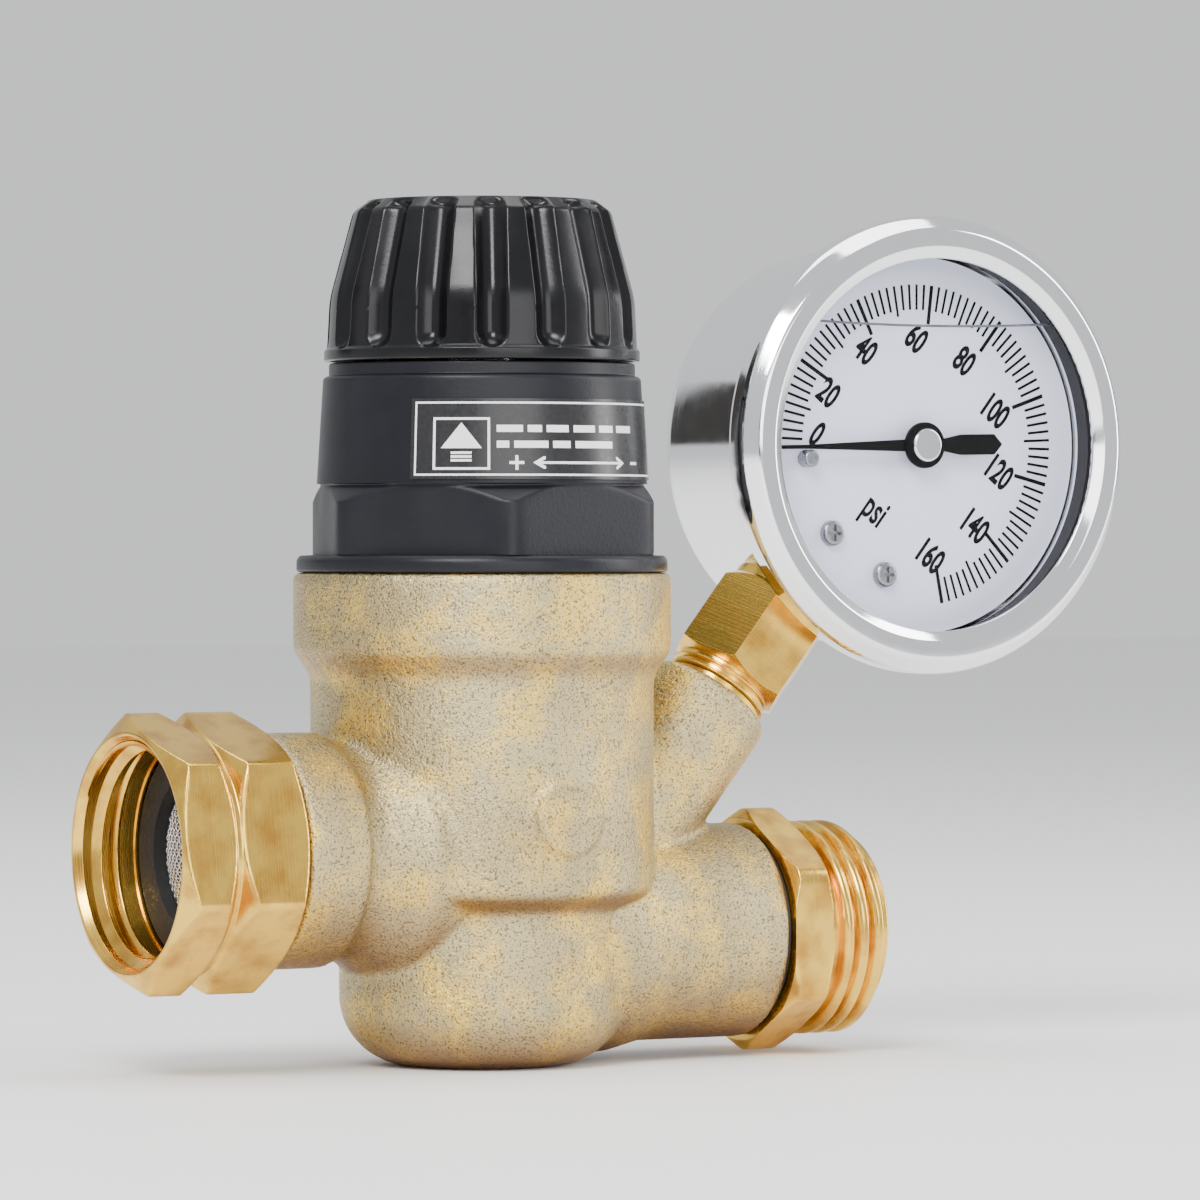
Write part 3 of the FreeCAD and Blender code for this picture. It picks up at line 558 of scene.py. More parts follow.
@dataclass(frozen=True)
class MachinedBrass(Finish):
    """Turned or milled bright brass with faint tool marks."""

    lay: Lay
    colour: tuple[float, float, float] = (0.90, 0.57, 0.10)
    worn: tuple[float, float, float] = (0.48, 0.22, 0.035)
    polish: float = 0.17

    def build(self, graph: Graph) -> bpy.types.Material:
        """Tool marks in roughness and bump, with broad tarnish in the colour."""
        marks = graph.along(self.lay.value, 9000)
        tarnish = graph.span(graph.noise(200, 5.0), 0.42, 0.68, 0.0, 0.85)
        rough = graph.span(marks, 0.3, 0.7, self.polish - 0.04, self.polish + 0.1) + tarnish * 0.08
        return graph.close(
            Base_Color=graph.blend(tarnish, self.colour, self.worn),
            Metallic=1.0,
            Roughness=rough,
            Normal=graph.bump(marks * 0.7 + graph.noise(900, 3.0) * 0.3, 0.00002, 0.6),
        )


@dataclass(frozen=True)
class PolishedSteel(Finish):
    """Bright stainless steel with faint polishing lines."""

    polish: float = 0.06
    colour: tuple[float, float, float] = (0.90, 0.905, 0.92)

    def build(self, graph: Graph) -> bpy.types.Material:
        """Near mirror with slight clouding."""
        clouding = graph.noise(300, 3.0)
        lines = graph.along(Lay.DIAL.value, 14000)
        return graph.close(
            Base_Color=graph.blend(clouding * 0.12, self.colour, (0.78, 0.79, 0.81)),
            Metallic=1.0,
            Roughness=graph.span(clouding, 0.3, 0.7, self.polish, self.polish + 0.05),
            Normal=graph.bump(lines, 0.000004, 0.4),
        )


@dataclass(frozen=True)
class PlainSteel(Finish):
    """Zinc-grey steel for springs, screws and washers."""

    colour: tuple[float, float, float] = (0.62, 0.63, 0.65)

    def build(self, graph: Graph) -> bpy.types.Material:
        """Even grey with a light grain."""
        grain = graph.noise(1800, 3.0)
        return graph.close(
            Base_Color=graph.blend(grain * 0.3, self.colour, (0.45, 0.45, 0.46)),
            Metallic=1.0,
            Roughness=graph.span(grain, 0.3, 0.7, 0.22, 0.36),
            Normal=graph.bump(grain, 0.00002, 0.5),
        )


@dataclass(frozen=True)
class MouldedPlastic(Finish):
    """Black plastic, from satin to glossy."""

    colour: tuple[float, float, float]
    gloss: float
    grain_depth: float
    shine: float = 0.3

    def build(self, graph: Graph) -> bpy.types.Material:
        """Mould grain in bump, with faint handling marks in roughness."""
        grain = graph.noise(2600, 2.0)
        smudges = graph.span(graph.noise(130, 4.0), 0.4, 0.7, 0.0, 1.0)
        return graph.close(
            Base_Color=graph.blend(smudges * 0.35, self.colour, tuple(c * 1.5 + 0.004 for c in self.colour)),
            Roughness=smudges * 0.09 + self.gloss,
            Normal=graph.bump(grain, self.grain_depth, 0.8),
            Specular_IOR_Level=self.shine,
        )


@dataclass(frozen=True)
class Rubber(Finish):
    """Matt black rubber."""

    def build(self, graph: Graph) -> bpy.types.Material:
        """Dusty black with a fine tooth."""
        grain = graph.noise(2200, 3.0)
        return graph.close(
            Base_Color=graph.blend(grain * 0.5, (0.010, 0.010, 0.011), (0.035, 0.034, 0.034)),
            Roughness=graph.span(grain, 0.3, 0.7, 0.55, 0.75),
            Normal=graph.bump(grain, 0.00004, 0.6),
        )


@dataclass(frozen=True)
class DialLacquer(Finish):
    """Pale lavender-grey dial."""

    colour: tuple[float, float, float] = (0.70, 0.72, 0.86)

    def build(self, graph: Graph) -> bpy.types.Material:
        """Nearly even colour with a slight mottle."""
        mottle = graph.noise(260, 3.0)
        return graph.close(
            Base_Color=graph.blend(mottle * 0.25, self.colour, (0.62, 0.65, 0.82)),
            Roughness=graph.span(mottle, 0.3, 0.7, 0.4, 0.5),
            Normal=graph.bump(mottle, 0.00001, 0.3),
        )


@dataclass(frozen=True)
class BlackInk(Finish):
    """Dial print and the pointer's lacquer."""

    def build(self, graph: Graph) -> bpy.types.Material:
        """Satin black."""
        grain = graph.noise(1500, 2.0)
        return graph.close(
            Base_Color=graph.blend(grain * 0.3, (0.001, 0.001, 0.001), (0.006, 0.006, 0.007)),
            Roughness=graph.span(grain, 0.3, 0.7, 0.5, 0.65),
            Specular_IOR_Level=0.08,
        )


@dataclass(frozen=True)
class ClearWindow(Finish):
    """Clear window: see-through, with a sharp reflection that grows towards grazing angles."""

    gloss: float = 0.02
    head_on: float = 0.006
    grazing: float = 0.6

    def build(self, graph: Graph) -> bpy.types.Material:
        """Gloss over clear; its share is head_on + grazing times facing^5, alike on both faces."""
        clear = graph.add("ShaderNodeBsdfTransparent", {}, {"Color": (0.985, 0.985, 0.99, 1)})
        shine = graph.add("ShaderNodeBsdfGlossy", {}, {"Color": (1, 1, 1, 1), "Roughness": self.gloss})
        facing = graph.add("ShaderNodeLayerWeight", {}, {"Blend": 0.5}, "Facing")
        edge = facing.math("POWER", 5.0) * self.grazing + self.head_on
        return graph.output(graph.add("ShaderNodeMixShader", {}, {0: edge, 1: clear, 2: shine}))


@dataclass(frozen=True)
class LiquidEdge(Finish):
    """Dark edge where the filling liquid meets the window."""

    def build(self, graph: Graph) -> bpy.types.Material:
        """Slate grey with a wet sheen."""
        ripple = graph.noise(400, 2.0)
        return graph.close(
            Base_Color=graph.blend(ripple, (0.05, 0.055, 0.075), (0.16, 0.17, 0.21)),
            Roughness=graph.span(ripple, 0.3, 0.7, 0.1, 0.2),
        )


@dataclass(frozen=True)
class LabelPrint(Finish):
    """Black wrap printed in white: frame, up-arrow sign, two rows of bars, and a more-or-less arrow."""

    radius: float = 20.15
    low: float = 71.7
    high: float = 81.4
    half_width: float = 19.3

    def build(self, graph: Graph) -> bpy.types.Material:
        """Masks in u, the distance round the sleeve from the front, and z, both in millimetres."""
        x, y, z = graph.axes(graph.place())
        around = x.math("ARCTAN2", 0 - y) * self.radius
        height = z * 1000

        def within(value: Wire, low: float, high: float) -> Wire:
            """Mask of a range."""
            return (value > low) & (value < high)

        def panel(left: float, right: float, bottom: float, top: float) -> Wire:
            """Mask of a rectangle."""
            return within(around, left, right) & within(height, bottom, top)

        def frame_line(left: float, right: float, bottom: float, top: float, line: float) -> Wire:
            """Mask of a rectangle's outline."""
            inside = panel(left + line, right - line, bottom + line, top - line)
            return panel(left, right, bottom, top) - inside

        edge = self.half_width - 0.45
        mask = frame_line(-edge, edge, self.low + 0.4, self.high - 0.4, 0.24)
        mask = mask | frame_line(-16.5, -9.6, 72.8, 79.1, 0.3)
        slope = abs(around + 13.05) * 1.25
        mask = mask | (within(height, 75.4, 78.5) & ((height + slope) < 78.5))
        mask = mask | (panel(-14.3, -11.8, 73.7, 75.1) & ((height * 2.2).math("FRACT") > 0.35))
        upper = ((-8.8, -5.6), (-5.0, -3.2), (-2.6, 0.4), (1.1, 4.4), (5.1, 7.6), (8.3, 11.6))
        lower = ((-8.8, -7.3), (-6.7, -2.4), (-1.8, 0.6), (1.3, 7.4))
        for bottom, bars in ((77.35, upper), (75.45, lower)):
            for left, right in bars:
                mask = mask | panel(left, right, bottom, bottom + 0.85)
        mask = mask | panel(-7.3, -5.5, 73.5, 73.85) | panel(-6.58, -6.22, 72.8, 74.55)
        mask = mask | panel(11.2, 12.9, 73.5, 73.85) | panel(-4.0, 9.2, 73.53, 73.83)
        level = abs(height - 73.68)
        for along, tip in ((around * -1, 4.4), (around, 9.6)):
            reach = along + level * 1.8
            mask = mask | (within(along, tip - 1.6, tip) & within(reach, tip - 0.8, tip) & (level < 0.75))
        grain = graph.noise(1800, 2.0)
        return graph.close(
            Base_Color=graph.blend(mask, graph.blend(grain * 0.4, (0.008, 0.008, 0.009), (0.02, 0.02, 0.022)),
                                   (0.80, 0.80, 0.80)),
            Roughness=graph.span(grain, 0.3, 0.7, 0.26, 0.34),
            Normal=graph.bump(mask + grain * 0.1, 0.00002, 0.5),
        )


CAST = CastBrass()
STEEL = PlainSteel()
DARK_STEEL = PlainSteel((0.30, 0.30, 0.32))
POLISHED = PolishedSteel()
RUBBER = Rubber()
INK = BlackInk()
BONNET_PLASTIC = MouldedPlastic((0.004, 0.004, 0.007), 0.38, 0.00003)
KNOB_PLASTIC = MouldedPlastic((0.003, 0.003, 0.004), 0.2, 0.00001)
MOVEMENT_BRASS = MachinedBrass(Lay.DIAL, colour=(0.78, 0.54, 0.16), polish=0.28)


def dress(finish: Finish, *nodes: str) -> None:
    """Gives CAD nodes a finish."""
    for node in nodes:
        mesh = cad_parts[node].data
        mesh.materials.clear()
        mesh.materials.append(finish.material())
        log.info("dressed %s", node)


def add_piece(piece: bpy.types.Object, finish: Finish, body: str, slot: str, *replaced: str) -> None:
    """Finishes a new piece and puts it on its body.

    Args:
        piece: The new object.
        finish: Its finish.
        body: The CAD body it moves with.
        slot: Not used.
        replaced: CAD nodes it stands for.
    """
    piece.data.materials.append(finish.material())
    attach(piece, body)
    if replaced:
        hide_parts(*replaced)
    log.info("built %s with %d faces", piece.name, len(piece.data.polygons))


# ---- Sub-assemblies ----

@dataclass
class Casting:
    """The body casting."""

    cell: float = 0.54
    passes: int = 4

    def skin(self) -> bpy.types.Object:
        """Casting with soft corners and fillets where its arms meet.

        The solids' joined surface is resampled on an even grid of cells, and each point then moves
        halfway to the mean of its neighbours, a few times over, as a casting's corners are rounded.
        """
        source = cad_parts["valve_body"].data.copy()
        merge_doubles(source, 1e-6)
        blank = new_object("casting_blank", source)
        grid = blank.modifiers.new("grid", "REMESH")
        grid.mode, grid.voxel_size, grid.use_smooth_shade = "VOXEL", self.cell * MM, True
        soft = blank.modifiers.new("soft", "SMOOTH")
        soft.factor, soft.iterations = 0.5, self.passes
        evaluated = blank.evaluated_get(bpy.context.evaluated_depsgraph_get())
        mesh = bpy.data.meshes.new_from_object(evaluated)
        mesh.name = "body_casting"
        mesh.materials.clear()
        bpy.data.objects.remove(blank)
        bpy.data.meshes.remove(source)
        return new_object("body_casting", mesh)

    def build(self) -> None:
        """Builds the casting's skin."""
        add_piece(self.skin(), CAST, "housing", "cast_brass", "valve_body")


@dataclass
class SwivelInlet:
    """Swivel nut, its thread, the tailpiece behind it, the hose washer and the mesh dome."""

    back: float = 32.0
    front: float = 49.0
    groove: float = 41.5
    flats: float = 30.0
    corner: float = 17.2
    bore: float = 13.55
    back_bore: float = 13.3
    bore_step: float = 41.0
    wall: float = 4.0
    thread_depth: float = 1.15
    thread_start: float = 43.2
    thread_end: float = 48.0
    washer_back: float = 38.05
    mesh_radius: float = 8.85
    mesh_base: float = 38.85
    mesh_rise: float = 1.85
    mesh_pitch: float = 0.78
    wire: float = 0.15
    brass: Finish = field(default_factory=lambda: MachinedBrass(Lay.FLOW))

    def nut(self) -> bpy.types.Object:
        """Two hexagonal bands with a V groove, chamfered at every end, around the bore."""
        corners = [
            (10.0, self.back, 0.2),
            (self.corner - 2.6, self.back, 0.2),
            (self.corner, self.back + 1.5, 0.3),
            (self.corner, self.groove - 1.9, 0.3),
            (self.corner - 2.3, self.groove - 0.35, 0.3),
            (self.corner - 2.3, self.groove + 0.35, 0.3),
            (self.corner, self.groove + 1.9, 0.3),
            (self.corner, self.front - 1.5, 0.3),
            (self.corner - 2.6, self.front, 0.25),
            (self.bore + 0.7, self.front, 0.2),
            (self.bore, self.front - 1.0, 0.2),
            (self.bore, self.bore_step),
            (self.back_bore, self.bore_step),
            (self.back_bore, self.back + self.wall),
            (10.0, self.back + self.wall),
        ]
        return lathe("swivel_nut_shell", INLET, profile(corners, 0.3), 480, hexagonal(self.flats, 10.0), 28.0)

    def mesh_height(self, x: Array, y: Array) -> Array:
        """Dome over the washer: base + rise times (1 - (r / radius)^2)."""
        return self.mesh_base + self.mesh_rise * (1 - (x * x + y * y) / self.mesh_radius ** 2)

    def weave(self) -> bpy.types.Object:
        """Two crossing sets of wires on the dome, each rising and falling as cos(pi t / pitch)."""
        count = int(self.mesh_radius / self.mesh_pitch)
        offsets = np.arange(-count, count + 1) * self.mesh_pitch
        steps, sides = 89, 5
        travel = np.linspace(-1, 1, steps)[None]
        reach = np.sqrt(np.maximum(self.mesh_radius ** 2 - offsets ** 2, 0.04))[:, None]
        run = travel * reach
        turn = np.linspace(0, 2 * np.pi, sides, endpoint=False)
        taper = np.where(np.abs(travel) < 1, 1.0, 0.0)[..., None]
        points = []
        for family in (0, 1):
            side = offsets[:, None] + 0 * run
            phase = np.pi * (np.arange(len(offsets))[:, None] + family)
            lift = self.wire * np.cos(np.pi * run / self.mesh_pitch + phase)
            x, y = (run, side) if family == 0 else (side, run)
            height = self.mesh_height(x, y) + lift
            across = side[..., None] + self.wire * np.cos(turn) * taper
            up = height[..., None] + self.wire * np.sin(turn) * taper
            along = run[..., None] + 0 * across
            points.append(np.stack([along, across, up] if family == 0 else [across, along, up], -1))
        wires = np.concatenate(points)
        faces = grid_faces(steps, sides, False, True)
        starts = np.arange(len(wires))[:, None, None] * steps * sides
        faces = (faces[None] + starts).reshape(-1, 4)
        second = faces.reshape(2, -1, 4)[1][:, ::-1]
        faces = np.concatenate([faces.reshape(2, -1, 4)[0], second])
        placed = INLET.place(wires.reshape(-1, 3))
        return make_mesh("screen_weave", placed, facing_out(placed, faces), 80.0)

    def build(self) -> None:
        """Builds and dresses the inlet."""
        add_piece(self.nut(), self.brass, "inlet_nut", "machined_brass", "swivel_nut")
        crest = self.bore - self.thread_depth
        start, end = self.thread_start, self.thread_end
        thread = ridge("inlet_thread", INLET, self.bore, crest, start, end, HOSE_PITCH)
        add_piece(thread, self.brass, "inlet_nut", "machined_brass")
        add_piece(self.weave(), STEEL, "housing", "steel", "filter_screen")
        low, high = self.washer_back, self.washer_back + 0.95
        rim = profile([(8.5, low, 0.1), (9.1, low, 0.1), (9.1, high, 0.2), (8.5, high, 0.2)], 0.5)
        add_piece(lathe("screen_rim", INLET, rim, 128), STEEL, "housing", "steel")
        dress(self.brass, "inlet_tailpiece")
        dress(RUBBER, "inlet_washer")


@dataclass
class HoseOutlet:
    """Outlet nipple with its hexagon and thread, and the seal behind it."""

    bore: float = 8.5
    root: float = 12.15
    crest: float = 13.45
    hex_back: float = 37.2
    hex_front: float = 42.7
    end: float = 52.0
    brass: Finish = field(default_factory=lambda: MachinedBrass(Lay.FLOW))

    def nipple(self) -> bpy.types.Object:
        """Hexagon, thread root and bore as one turned and milled solid."""
        corners = [
            (self.bore, 25.1),
            (10.45, 25.1, 0.3),
            (10.45, self.hex_back),
            (14.0, self.hex_back, 0.2),
            (15.2, self.hex_back + 0.7, 0.3),
            (15.2, self.hex_front - 0.7, 0.3),
            (14.0, self.hex_front, 0.2),
            (self.root, self.hex_front, 0.3),
            (self.root, self.end - 0.3, 0.3),
            (self.root - 0.4, self.end, 0.2),
            (self.bore + 0.5, self.end, 0.2),
            (self.bore, self.end - 0.6, 0.2),
        ]
        return lathe("outlet_nipple", OUTLET, profile(corners, 0.3), 480, hexagonal(27.0, 0.0), 28.0)

    def build(self) -> None:
        """Builds and dresses the outlet."""
        add_piece(self.nipple(), self.brass, "housing", "machined_brass", "outlet_adapter")
        start, end = self.hex_front + 1.1, self.end - 0.95
        thread = ridge("outlet_thread", OUTLET, self.root, self.crest, start, end, HOSE_PITCH, 0.98, 0.42)
        add_piece(thread, self.brass, "housing", "machined_brass")
        dress(RUBBER, "outlet_seal")


@dataclass
class Adjuster:
    """Bonnet, its label, the knob and everything that sets the spring."""

    flute_count: int = 16
    flute_turn: float = -116.4
    flute_radius: float = 2.0
    flute_foot: float = 89.5
    flute_depth: float = 1.5

    def bonnet(self) -> bpy.types.Object:
        """Skirt, flange, hexagon with a chamfered crown, tapered sleeve and neck."""
        corners = [
            (15.4, 51.45),
            (19.95, 51.45),
            (19.95, 60.42),
            (22.8, 60.42, 0.4),
            (22.8, 62.6, 1.0),
            (22.3, 62.6),
            (22.3, 69.0, 0.5),
            (19.7, 71.2, 0.2),
            (20.3, 71.25),
            (19.5, 84.4, 0.6),
            (18.8, 84.4, 0.2),
            (18.8, 86.0, 0.3),
            (4.1, 86.0, 0.2),
            (4.1, 81.0),
            (15.4, 81.0, 0.8),
        ]
        outline = profile(corners, 0.3)
        flats = hexagonal(39.3, -110.5, 90.0)

        def trim(radius: Array, height: Array, angle: Array) -> Array:
            """Hexagon between the flange and the sleeve only."""
            on_hexagon = (height > 62.55) & (height < 71.22)
            return np.where(on_hexagon, flats(radius, height, angle), radius)

        return lathe("bonnet_shell", BODY, outline, 480, trim, 28.0)

    def fluted(self, radius: Array, height: Array, angle: Array) -> Array:
        """Side cut by flutes with round feet.

        A point lies at d = sqrt(s^2 + b^2) from the nearest flute, where s is the distance round the knob
        and b how far it is below the flute's foot. The cut is depth times 1 - (d / radius)^2.
        """
        pitch = 2 * np.pi / self.flute_count
        offset = np.mod(angle - math.radians(self.flute_turn) + pitch / 2, pitch) - pitch / 2
        below = np.maximum(self.flute_foot - height, 0)
        distance = np.sqrt((radius * np.sin(offset)) ** 2 + below ** 2) / self.flute_radius
        cut = np.clip(1 - distance ** 2, 0, 1) * self.flute_depth
        outer = (radius > 14.0) & (height > 87.4)
        fade = np.clip((radius - 14.0) / 1.6, 0, 1)
        return radius - np.where(outer, cut * fade * fade * (3 - 2 * fade), 0)

    def knob(self) -> bpy.types.Object:
        """Fluted cap with a rim at its foot and a rounded top edge."""
        corners = [
            (0, 106.0),
            (14.0, 106.0, 0.2),
            (15.9, 104.6, 1.3),
            (18.75, 94.0, 12.0),
            (19.05, 87.9, 0.2),
            (19.4, 87.5, 0.2),
            (19.4, 86.2, 0.3),
            (17.2, 86.2, 0.2),
            (17.2, 87.7, 0.8),
            (12.0, 89.5),
            (12.0, 103.6, 0.8),
            (0, 103.6),
        ]
        return lathe("knob_cap", BODY, profile(corners, 0.4, 6), 720, self.fluted, 55.0)

    def build(self) -> None:
        """Builds and dresses the adjuster."""
        add_piece(self.bonnet(), BONNET_PLASTIC, "housing", "black_plastic", "bonnet")
        add_piece(self.knob(), KNOB_PLASTIC, "knob_body", "knob_plastic", "knob")
        dress(LabelPrint(), "bonnet_label")
        dress(BONNET_PLASTIC, "knob_hub")
        dress(STEEL, "main_spring", "adjusting_screw", "thrust_washer", "hub_clip")
        dress(MachinedBrass(Lay.UPRIGHT), "spring_nut")


@dataclass
class ValveTrain:
    """Seat, stem, disc, guide and diaphragm inside the casting."""

    def build(self) -> None:
        """Dresses the pieces."""
        brass = MachinedBrass(Lay.UPRIGHT)
        dress(brass, "seat_ring", "valve_stem", "disc_holder", "disc_nut", "stem_guide", "lower_washer")
        dress(RUBBER, "guide_o_ring", "stem_o_ring", "valve_disc", "diaphragm")
        dress(STEEL, "slip_ring", "diaphragm_plate", "diaphragm_nut")


@dataclass
class PressureGauge:
    """Dial gauge: stem, case, bezel, window, dial print, pointer and movement."""

    case: float = 25.0
    zero: float = 181.0
    sweep: float = 260.0
    top_reading: int = 160
    text_turn: float = -39.0
    print_height: float = 8.03
    scale_radius: float = 20.3
    number_radius: float = 13.9
    number_size: float = 3.4
    unit_radius: float = 9.2
    unit_size: float = 3.8
    number_centre: tuple[float, float] = (-1.2, -0.5)

    def shell(self) -> bpy.types.Object:
        """Drawn case with a rounded back and a flange under the bezel."""
        corners = [
            (0, -14.0),
            (self.case, -14.0, 3.5),
            (self.case, 8.0),
            (25.9, 8.0),
            (25.9, 8.9),
            (24.1, 8.9),
            (24.1, -13.1, 2.6),
            (0, -13.1),
        ]
        return lathe("gauge_case_shell", GAUGE, profile(corners, 0.8, 10), 256)

    def bezel(self) -> bpy.types.Object:
        """Rolled ring round the window."""
        corners = [
            (25.1, 7.2, 0.2),
            (26.6, 7.2, 0.4),
            (28.8, 9.3, 1.4),
            (28.8, 12.0, 1.6),
            (27.0, 14.0, 1.0),
            (24.8, 14.0, 0.9),
            (23.4, 13.2, 0.3),
            (23.4, 12.92),
            (26.0, 12.92),
            (26.0, 7.9),
            (25.1, 7.9),
        ]
        return lathe("bezel_ring", GAUGE, profile(corners, 0.5, 10), 320, crease=45.0)

    def window(self) -> bpy.types.Object:
        """Flat clear disc with a small bevel."""
        corners = [(0, 11.2), (25.85, 11.2), (25.85, 12.9, 0.2), (0, 12.9)]
        return lathe("window_disc", GAUGE, profile(corners, 4.0), 128)

    def plates(self, name: str, centres: Array, turns: Array, lengths: Array,
               widths: Array) -> bpy.types.Object:
        """Thin upright-edged bars on the dial, eight corners each, all worked out together.

        Args:
            name: Piece name.
            centres: Bar centres in the dial plane.
            turns: Directions of their long sides in radians.
            lengths: Their lengths.
            widths: Their widths.

        Returns:
            The new object.
        """
        signs = np.array([[-1, -1], [1, -1], [1, 1], [-1, 1]], float)
        local = signs[None] * np.stack([lengths, widths], -1)[:, None] / 2
        cosine, sine = np.cos(turns)[:, None], np.sin(turns)[:, None]
        x, y = local[..., 0], local[..., 1]
        flat = np.stack([x * cosine - y * sine, x * sine + y * cosine], -1) + centres[:, None]
        low = np.concatenate([flat, np.full((*flat.shape[:2], 1), 7.99)], -1)
        high = np.concatenate([flat, np.full((*flat.shape[:2], 1), self.print_height)], -1)
        points = np.concatenate([low, high], 1).reshape(-1, 3)
        box = np.array([[3, 2, 1, 0], [4, 5, 6, 7], [0, 1, 5, 4], [1, 2, 6, 5], [2, 3, 7, 6], [3, 0, 4, 7]])
        faces = (box[None] + 8 * np.arange(len(centres))[:, None, None]).reshape(-1, 4)
        placed = GAUGE.place(points)
        return make_mesh(name, placed, facing_out(placed, faces), 20.0)

    def ticks(self) -> bpy.types.Object:
        """One tick for each 2 psi, longer at each 10 and longest at each 20."""
        reading = np.arange(0, self.top_reading + 1, 2)
        angle = np.radians(self.zero - self.sweep * reading / self.top_reading)
        length = np.where(reading % 20 == 0, 4.9, np.where(reading % 10 == 0, 3.9, 3.2))
        width = np.where(reading % 20 == 0, 0.5, 0.34)
        radius = self.scale_radius - length / 2
        centres = np.stack([radius * np.cos(angle), radius * np.sin(angle)], -1)
        return self.plates("dial_ticks", centres, angle, length, width)

    def lettering(self) -> bpy.types.Object:
        """Dial numbers and the unit, upright along the stem, as one mesh."""
        vertices: list[Array] = []
        faces: list[tuple[int, ...]] = []
        turn = math.radians(self.text_turn)
        ring, size = self.number_radius, self.number_size
        step = self.sweep / self.top_reading
        places = [(str(reading), self.zero + 2.0 - step * reading, ring, size)
                  for reading in range(0, self.top_reading + 1, 20)]
        places[0] = ("0", self.zero - 8.0, ring, size)
        places.append(("psi", self.text_turn - 84.0, self.unit_radius, self.unit_size))
        for text, degrees, radius, size in places:
            curve = bpy.data.curves.new("numeral", "FONT")
            curve.body, curve.align_x, curve.align_y = text, "CENTER", "CENTER"
            curve.offset, curve.extrude, curve.resolution_u = 0.02 if text == "psi" else 0.032, 0.005, 4
            words = new_object("numeral", curve)
            evaluated = words.evaluated_get(bpy.context.evaluated_depsgraph_get())
            mesh = bpy.data.meshes.new_from_object(evaluated)
            local = np.empty(len(mesh.vertices) * 3)
            mesh.vertices.foreach_get("co", local)
            local = local.reshape(-1, 3) * np.array([size * 0.82, size * 1.36, size * 1.0])
            middle_x = self.number_centre[0] + radius * math.cos(math.radians(degrees))
            middle_y = self.number_centre[1] + radius * math.sin(math.radians(degrees))
            x = local[:, 0] * math.cos(turn) - local[:, 1] * math.sin(turn) + middle_x
            y = local[:, 0] * math.sin(turn) + local[:, 1] * math.cos(turn) + middle_y
            start = sum(len(block) for block in vertices)
            vertices.append(np.stack([x, y, local[:, 2] + self.print_height - 0.016], -1))
            faces += [tuple(start + index for index in polygon.vertices) for polygon in mesh.polygons]
            bpy.data.objects.remove(words)
            bpy.data.curves.remove(curve)
            bpy.data.meshes.remove(mesh)
        placed = GAUGE.place(np.concatenate(vertices))
        printed = bpy.data.meshes.new("dial_numbers")
        printed.from_pydata(placed.tolist(), [], faces)
        merge_doubles(printed, 1e-7, turn_out=True)
        return new_object("dial_numbers", printed)

    def liquid_line(self) -> bpy.types.Object:
        """Edge of the filling liquid: a thin level rod just behind the window."""
        level, depth, thickness = 15.0, 10.9, 0.16
        half = math.sqrt(24.0 ** 2 - level ** 2)
        steps, sides = 41, 8
        travel = np.linspace(-1, 1, steps)[:, None]
        turn = np.linspace(0, 2 * np.pi, sides, endpoint=False)[None]
        taper = np.where(np.abs(travel) < 1, 1.0, 0.0)
        rise = level - 0.5 * (1 - travel ** 2) + 0.5
        points = np.stack([travel * half + 0 * turn, rise + thickness * np.cos(turn) * taper,
                           depth + thickness * np.sin(turn) * taper], -1)
        placed = GAUGE.place(points.reshape(-1, 3))
        faces = facing_out(placed, grid_faces(steps, sides, False, True))
        return make_mesh("liquid_line", placed, faces, 80.0)

    def build(self) -> None:
        """Builds and dresses the gauge."""
        add_piece(self.shell(), POLISHED, "housing", "stainless", "gauge_case")
        add_piece(self.bezel(), POLISHED, "housing", "stainless", "bezel")
        add_piece(self.window(), ClearWindow(), "housing", "clear_lens", "lens")
        add_piece(self.ticks(), INK, "housing", "pointer_black")
        add_piece(self.lettering(), INK, "housing", "pointer_black")
        add_piece(self.liquid_line(), LiquidEdge(), "housing", "clear_lens")
        stem_brass = MachinedBrass(Lay.GAUGE_STEM)
        thread = ridge("stem_thread", STEM, 6.2, 6.75, 0.4, 2.7, 1.1)
        add_piece(thread, stem_brass, "housing", "machined_brass")
        dress(stem_brass, "gauge_stem")
        dress(DialLacquer(), "dial")
        dress(INK, "pointer")
        dress(RUBBER, "bezel_gasket", "fill_plug")
        dress(POLISHED, "pointer_cap")
        dress(DARK_STEEL, "dial_screws", "stop_pin")
        dress(STEEL, "pinion", "movement_screws")
        dress(MOVEMENT_BRASS, "sector", "link", "bourdon_tube", "tube_tip", "movement_back_plate",
              "movement_front_plate", "movement_pillars", "hairspring")


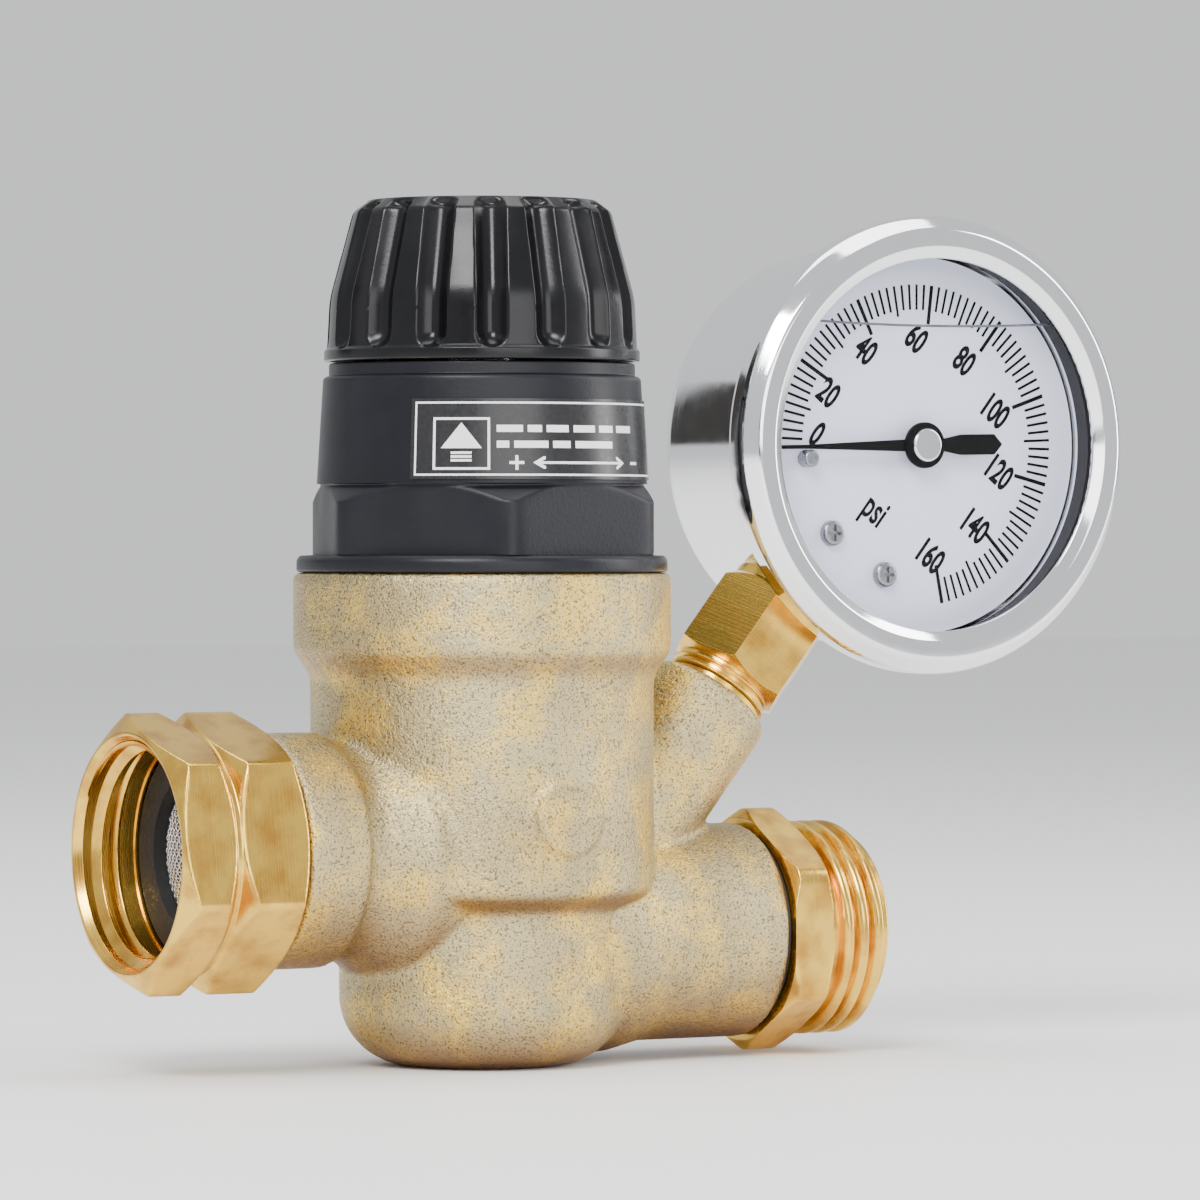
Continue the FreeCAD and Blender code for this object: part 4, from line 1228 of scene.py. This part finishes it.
@dataclass
class Studio:
    """Pale floor, soft lights and the camera."""

    azimuth: float = -31.0
    elevation: float = 0.5
    target: tuple[float, float, float] = (12.4, -7.5, 57.0)
    distance: float = 860.0
    lens: float = 210.0
    middle: float = 0.055

    def floor(self) -> None:
        """Flat pale floor."""
        corners = np.array([[-1, -1, 0], [1, -1, 0], [1, 1, 0], [-1, 1, 0]], float) * [3, 3, 1]
        ground = make_mesh("floor", corners, np.array([[0, 1, 2, 3]]))
        graph = Graph("floor_paper")
        ground.data.materials.append(graph.close(Base_Color=(0.93, 0.93, 0.93, 1), Roughness=0.5))

    def light(self, name: str, place: Sequence[float], size: Sequence[float], power: float) -> None:
        """Adds a soft panel aimed at the object.

        Args:
            name: Light name.
            place: Position in metres.
            size: Width and height in metres.
            power: Watts.
        """
        data = bpy.data.lights.new(name, "AREA")
        data.shape, data.size, data.size_y, data.energy = "RECTANGLE", size[0], size[1], power
        lamp = new_object(name, data)
        aim = np.array([0.012, 0.0, self.middle]) - np.array(place)
        lamp.location = place
        lamp.rotation_euler = direction_turn(aim)

    def card(self, name: str, direction: Sequence[float], distance: float, size: Sequence[float]) -> None:
        """Adds a dark card that only reflections show, to give polished metal its dark lines.

        Args:
            name: Card name.
            direction: Way to the card from the object.
            distance: Distance in metres.
            size: Width and height in metres.
        """
        out = np.array(direction) / np.linalg.norm(direction)
        side = np.cross([0, 0, 1], out)
        side = side / np.linalg.norm(side)
        rise = np.cross(out, side)
        signs = np.array([[-1, -1], [1, -1], [1, 1], [-1, 1]]) / 2
        spread = signs[:, :1] * size[0] * side + signs[:, 1:] * size[1] * rise
        corners = out * distance + np.array([0, 0, self.middle]) + spread
        board = make_mesh(name, corners, np.array([[0, 1, 2, 3]]))
        graph = Graph(name)
        board.data.materials.append(graph.close(Base_Color=(0.02, 0.018, 0.016, 1), Roughness=0.9))
        board.visible_camera = board.visible_shadow = board.visible_diffuse = False

    def camera(self) -> None:
        """Long lens level with the object, in front and to the left."""
        turn, rise = math.radians(self.azimuth), math.radians(self.elevation)
        back = np.array([math.sin(turn) * math.cos(rise), -math.cos(turn) * math.cos(rise), math.sin(rise)])
        data = bpy.data.cameras.new("camera")
        data.lens, data.sensor_width, data.clip_start, data.clip_end = self.lens, 36.0, 0.01, 20.0
        view = new_object("camera", data)
        view.location = (np.array(self.target) + back * self.distance) * MM
        view.rotation_euler = direction_turn(-back)
        bpy.context.scene.camera = view

    def build(self) -> None:
        """Sets up floor, lights, sky and camera."""
        self.floor()
        lights = (
            ("key", (-0.55, -0.55, 0.75), (0.45, 0.45), 13.0),
            ("side", (0.75, -0.35, 0.35), (0.25, 0.7), 5.0),
            ("front", (-0.15, -0.9, 0.25), (0.7, 0.35), 3.0),
            ("top", (0.1, 0.1, 0.9), (0.7, 0.5), 5.0),
        )
        for name, place, size, power in lights:
            self.light(name, place, size, power)
        cards = (
            ("card_front", (-0.55, -0.83, 0.03), 1.4, (0.55, 0.5)),
            ("card_back", (-0.52, 0.85, 0.2), 1.2, (0.4, 0.4)),
            ("card_right", (0.95, 0.1, 0.1), 1.2, (0.25, 0.8)),
        )
        for name, way, distance, size in cards:
            self.card(name, way, distance, size)
        world = bpy.data.worlds.new("studio")
        world.use_nodes = True
        background = world.node_tree.nodes["Background"]
        background.inputs["Color"].default_value = (0.97, 0.98, 1.0, 1)
        background.inputs["Strength"].default_value = 0.85
        bpy.context.scene.world = world
        self.camera()


def direction_turn(direction: Array) -> tuple[float, float, float]:
    """Euler turn that points an object's -Z along the direction, with its top up.

    Args:
        direction: Any vector that isn't upright.

    Returns:
        Angles about X, Y and Z in radians.
    """
    x, y, z = direction / np.linalg.norm(direction)
    return math.acos(-z), 0.0, math.atan2(-x, y)


def main() -> None:
    """Builds every sub-assembly in order."""
    logging.basicConfig(level=logging.INFO, format="%(name)s: %(message)s")
    assemblies = (Casting(), SwivelInlet(), HoseOutlet(), ValveTrain(), Adjuster(), PressureGauge(), Studio())
    for assembly in assemblies:
        assembly.build()
        log.info("finished %s", type(assembly).__name__)


if __name__ == "__main__":
    main()
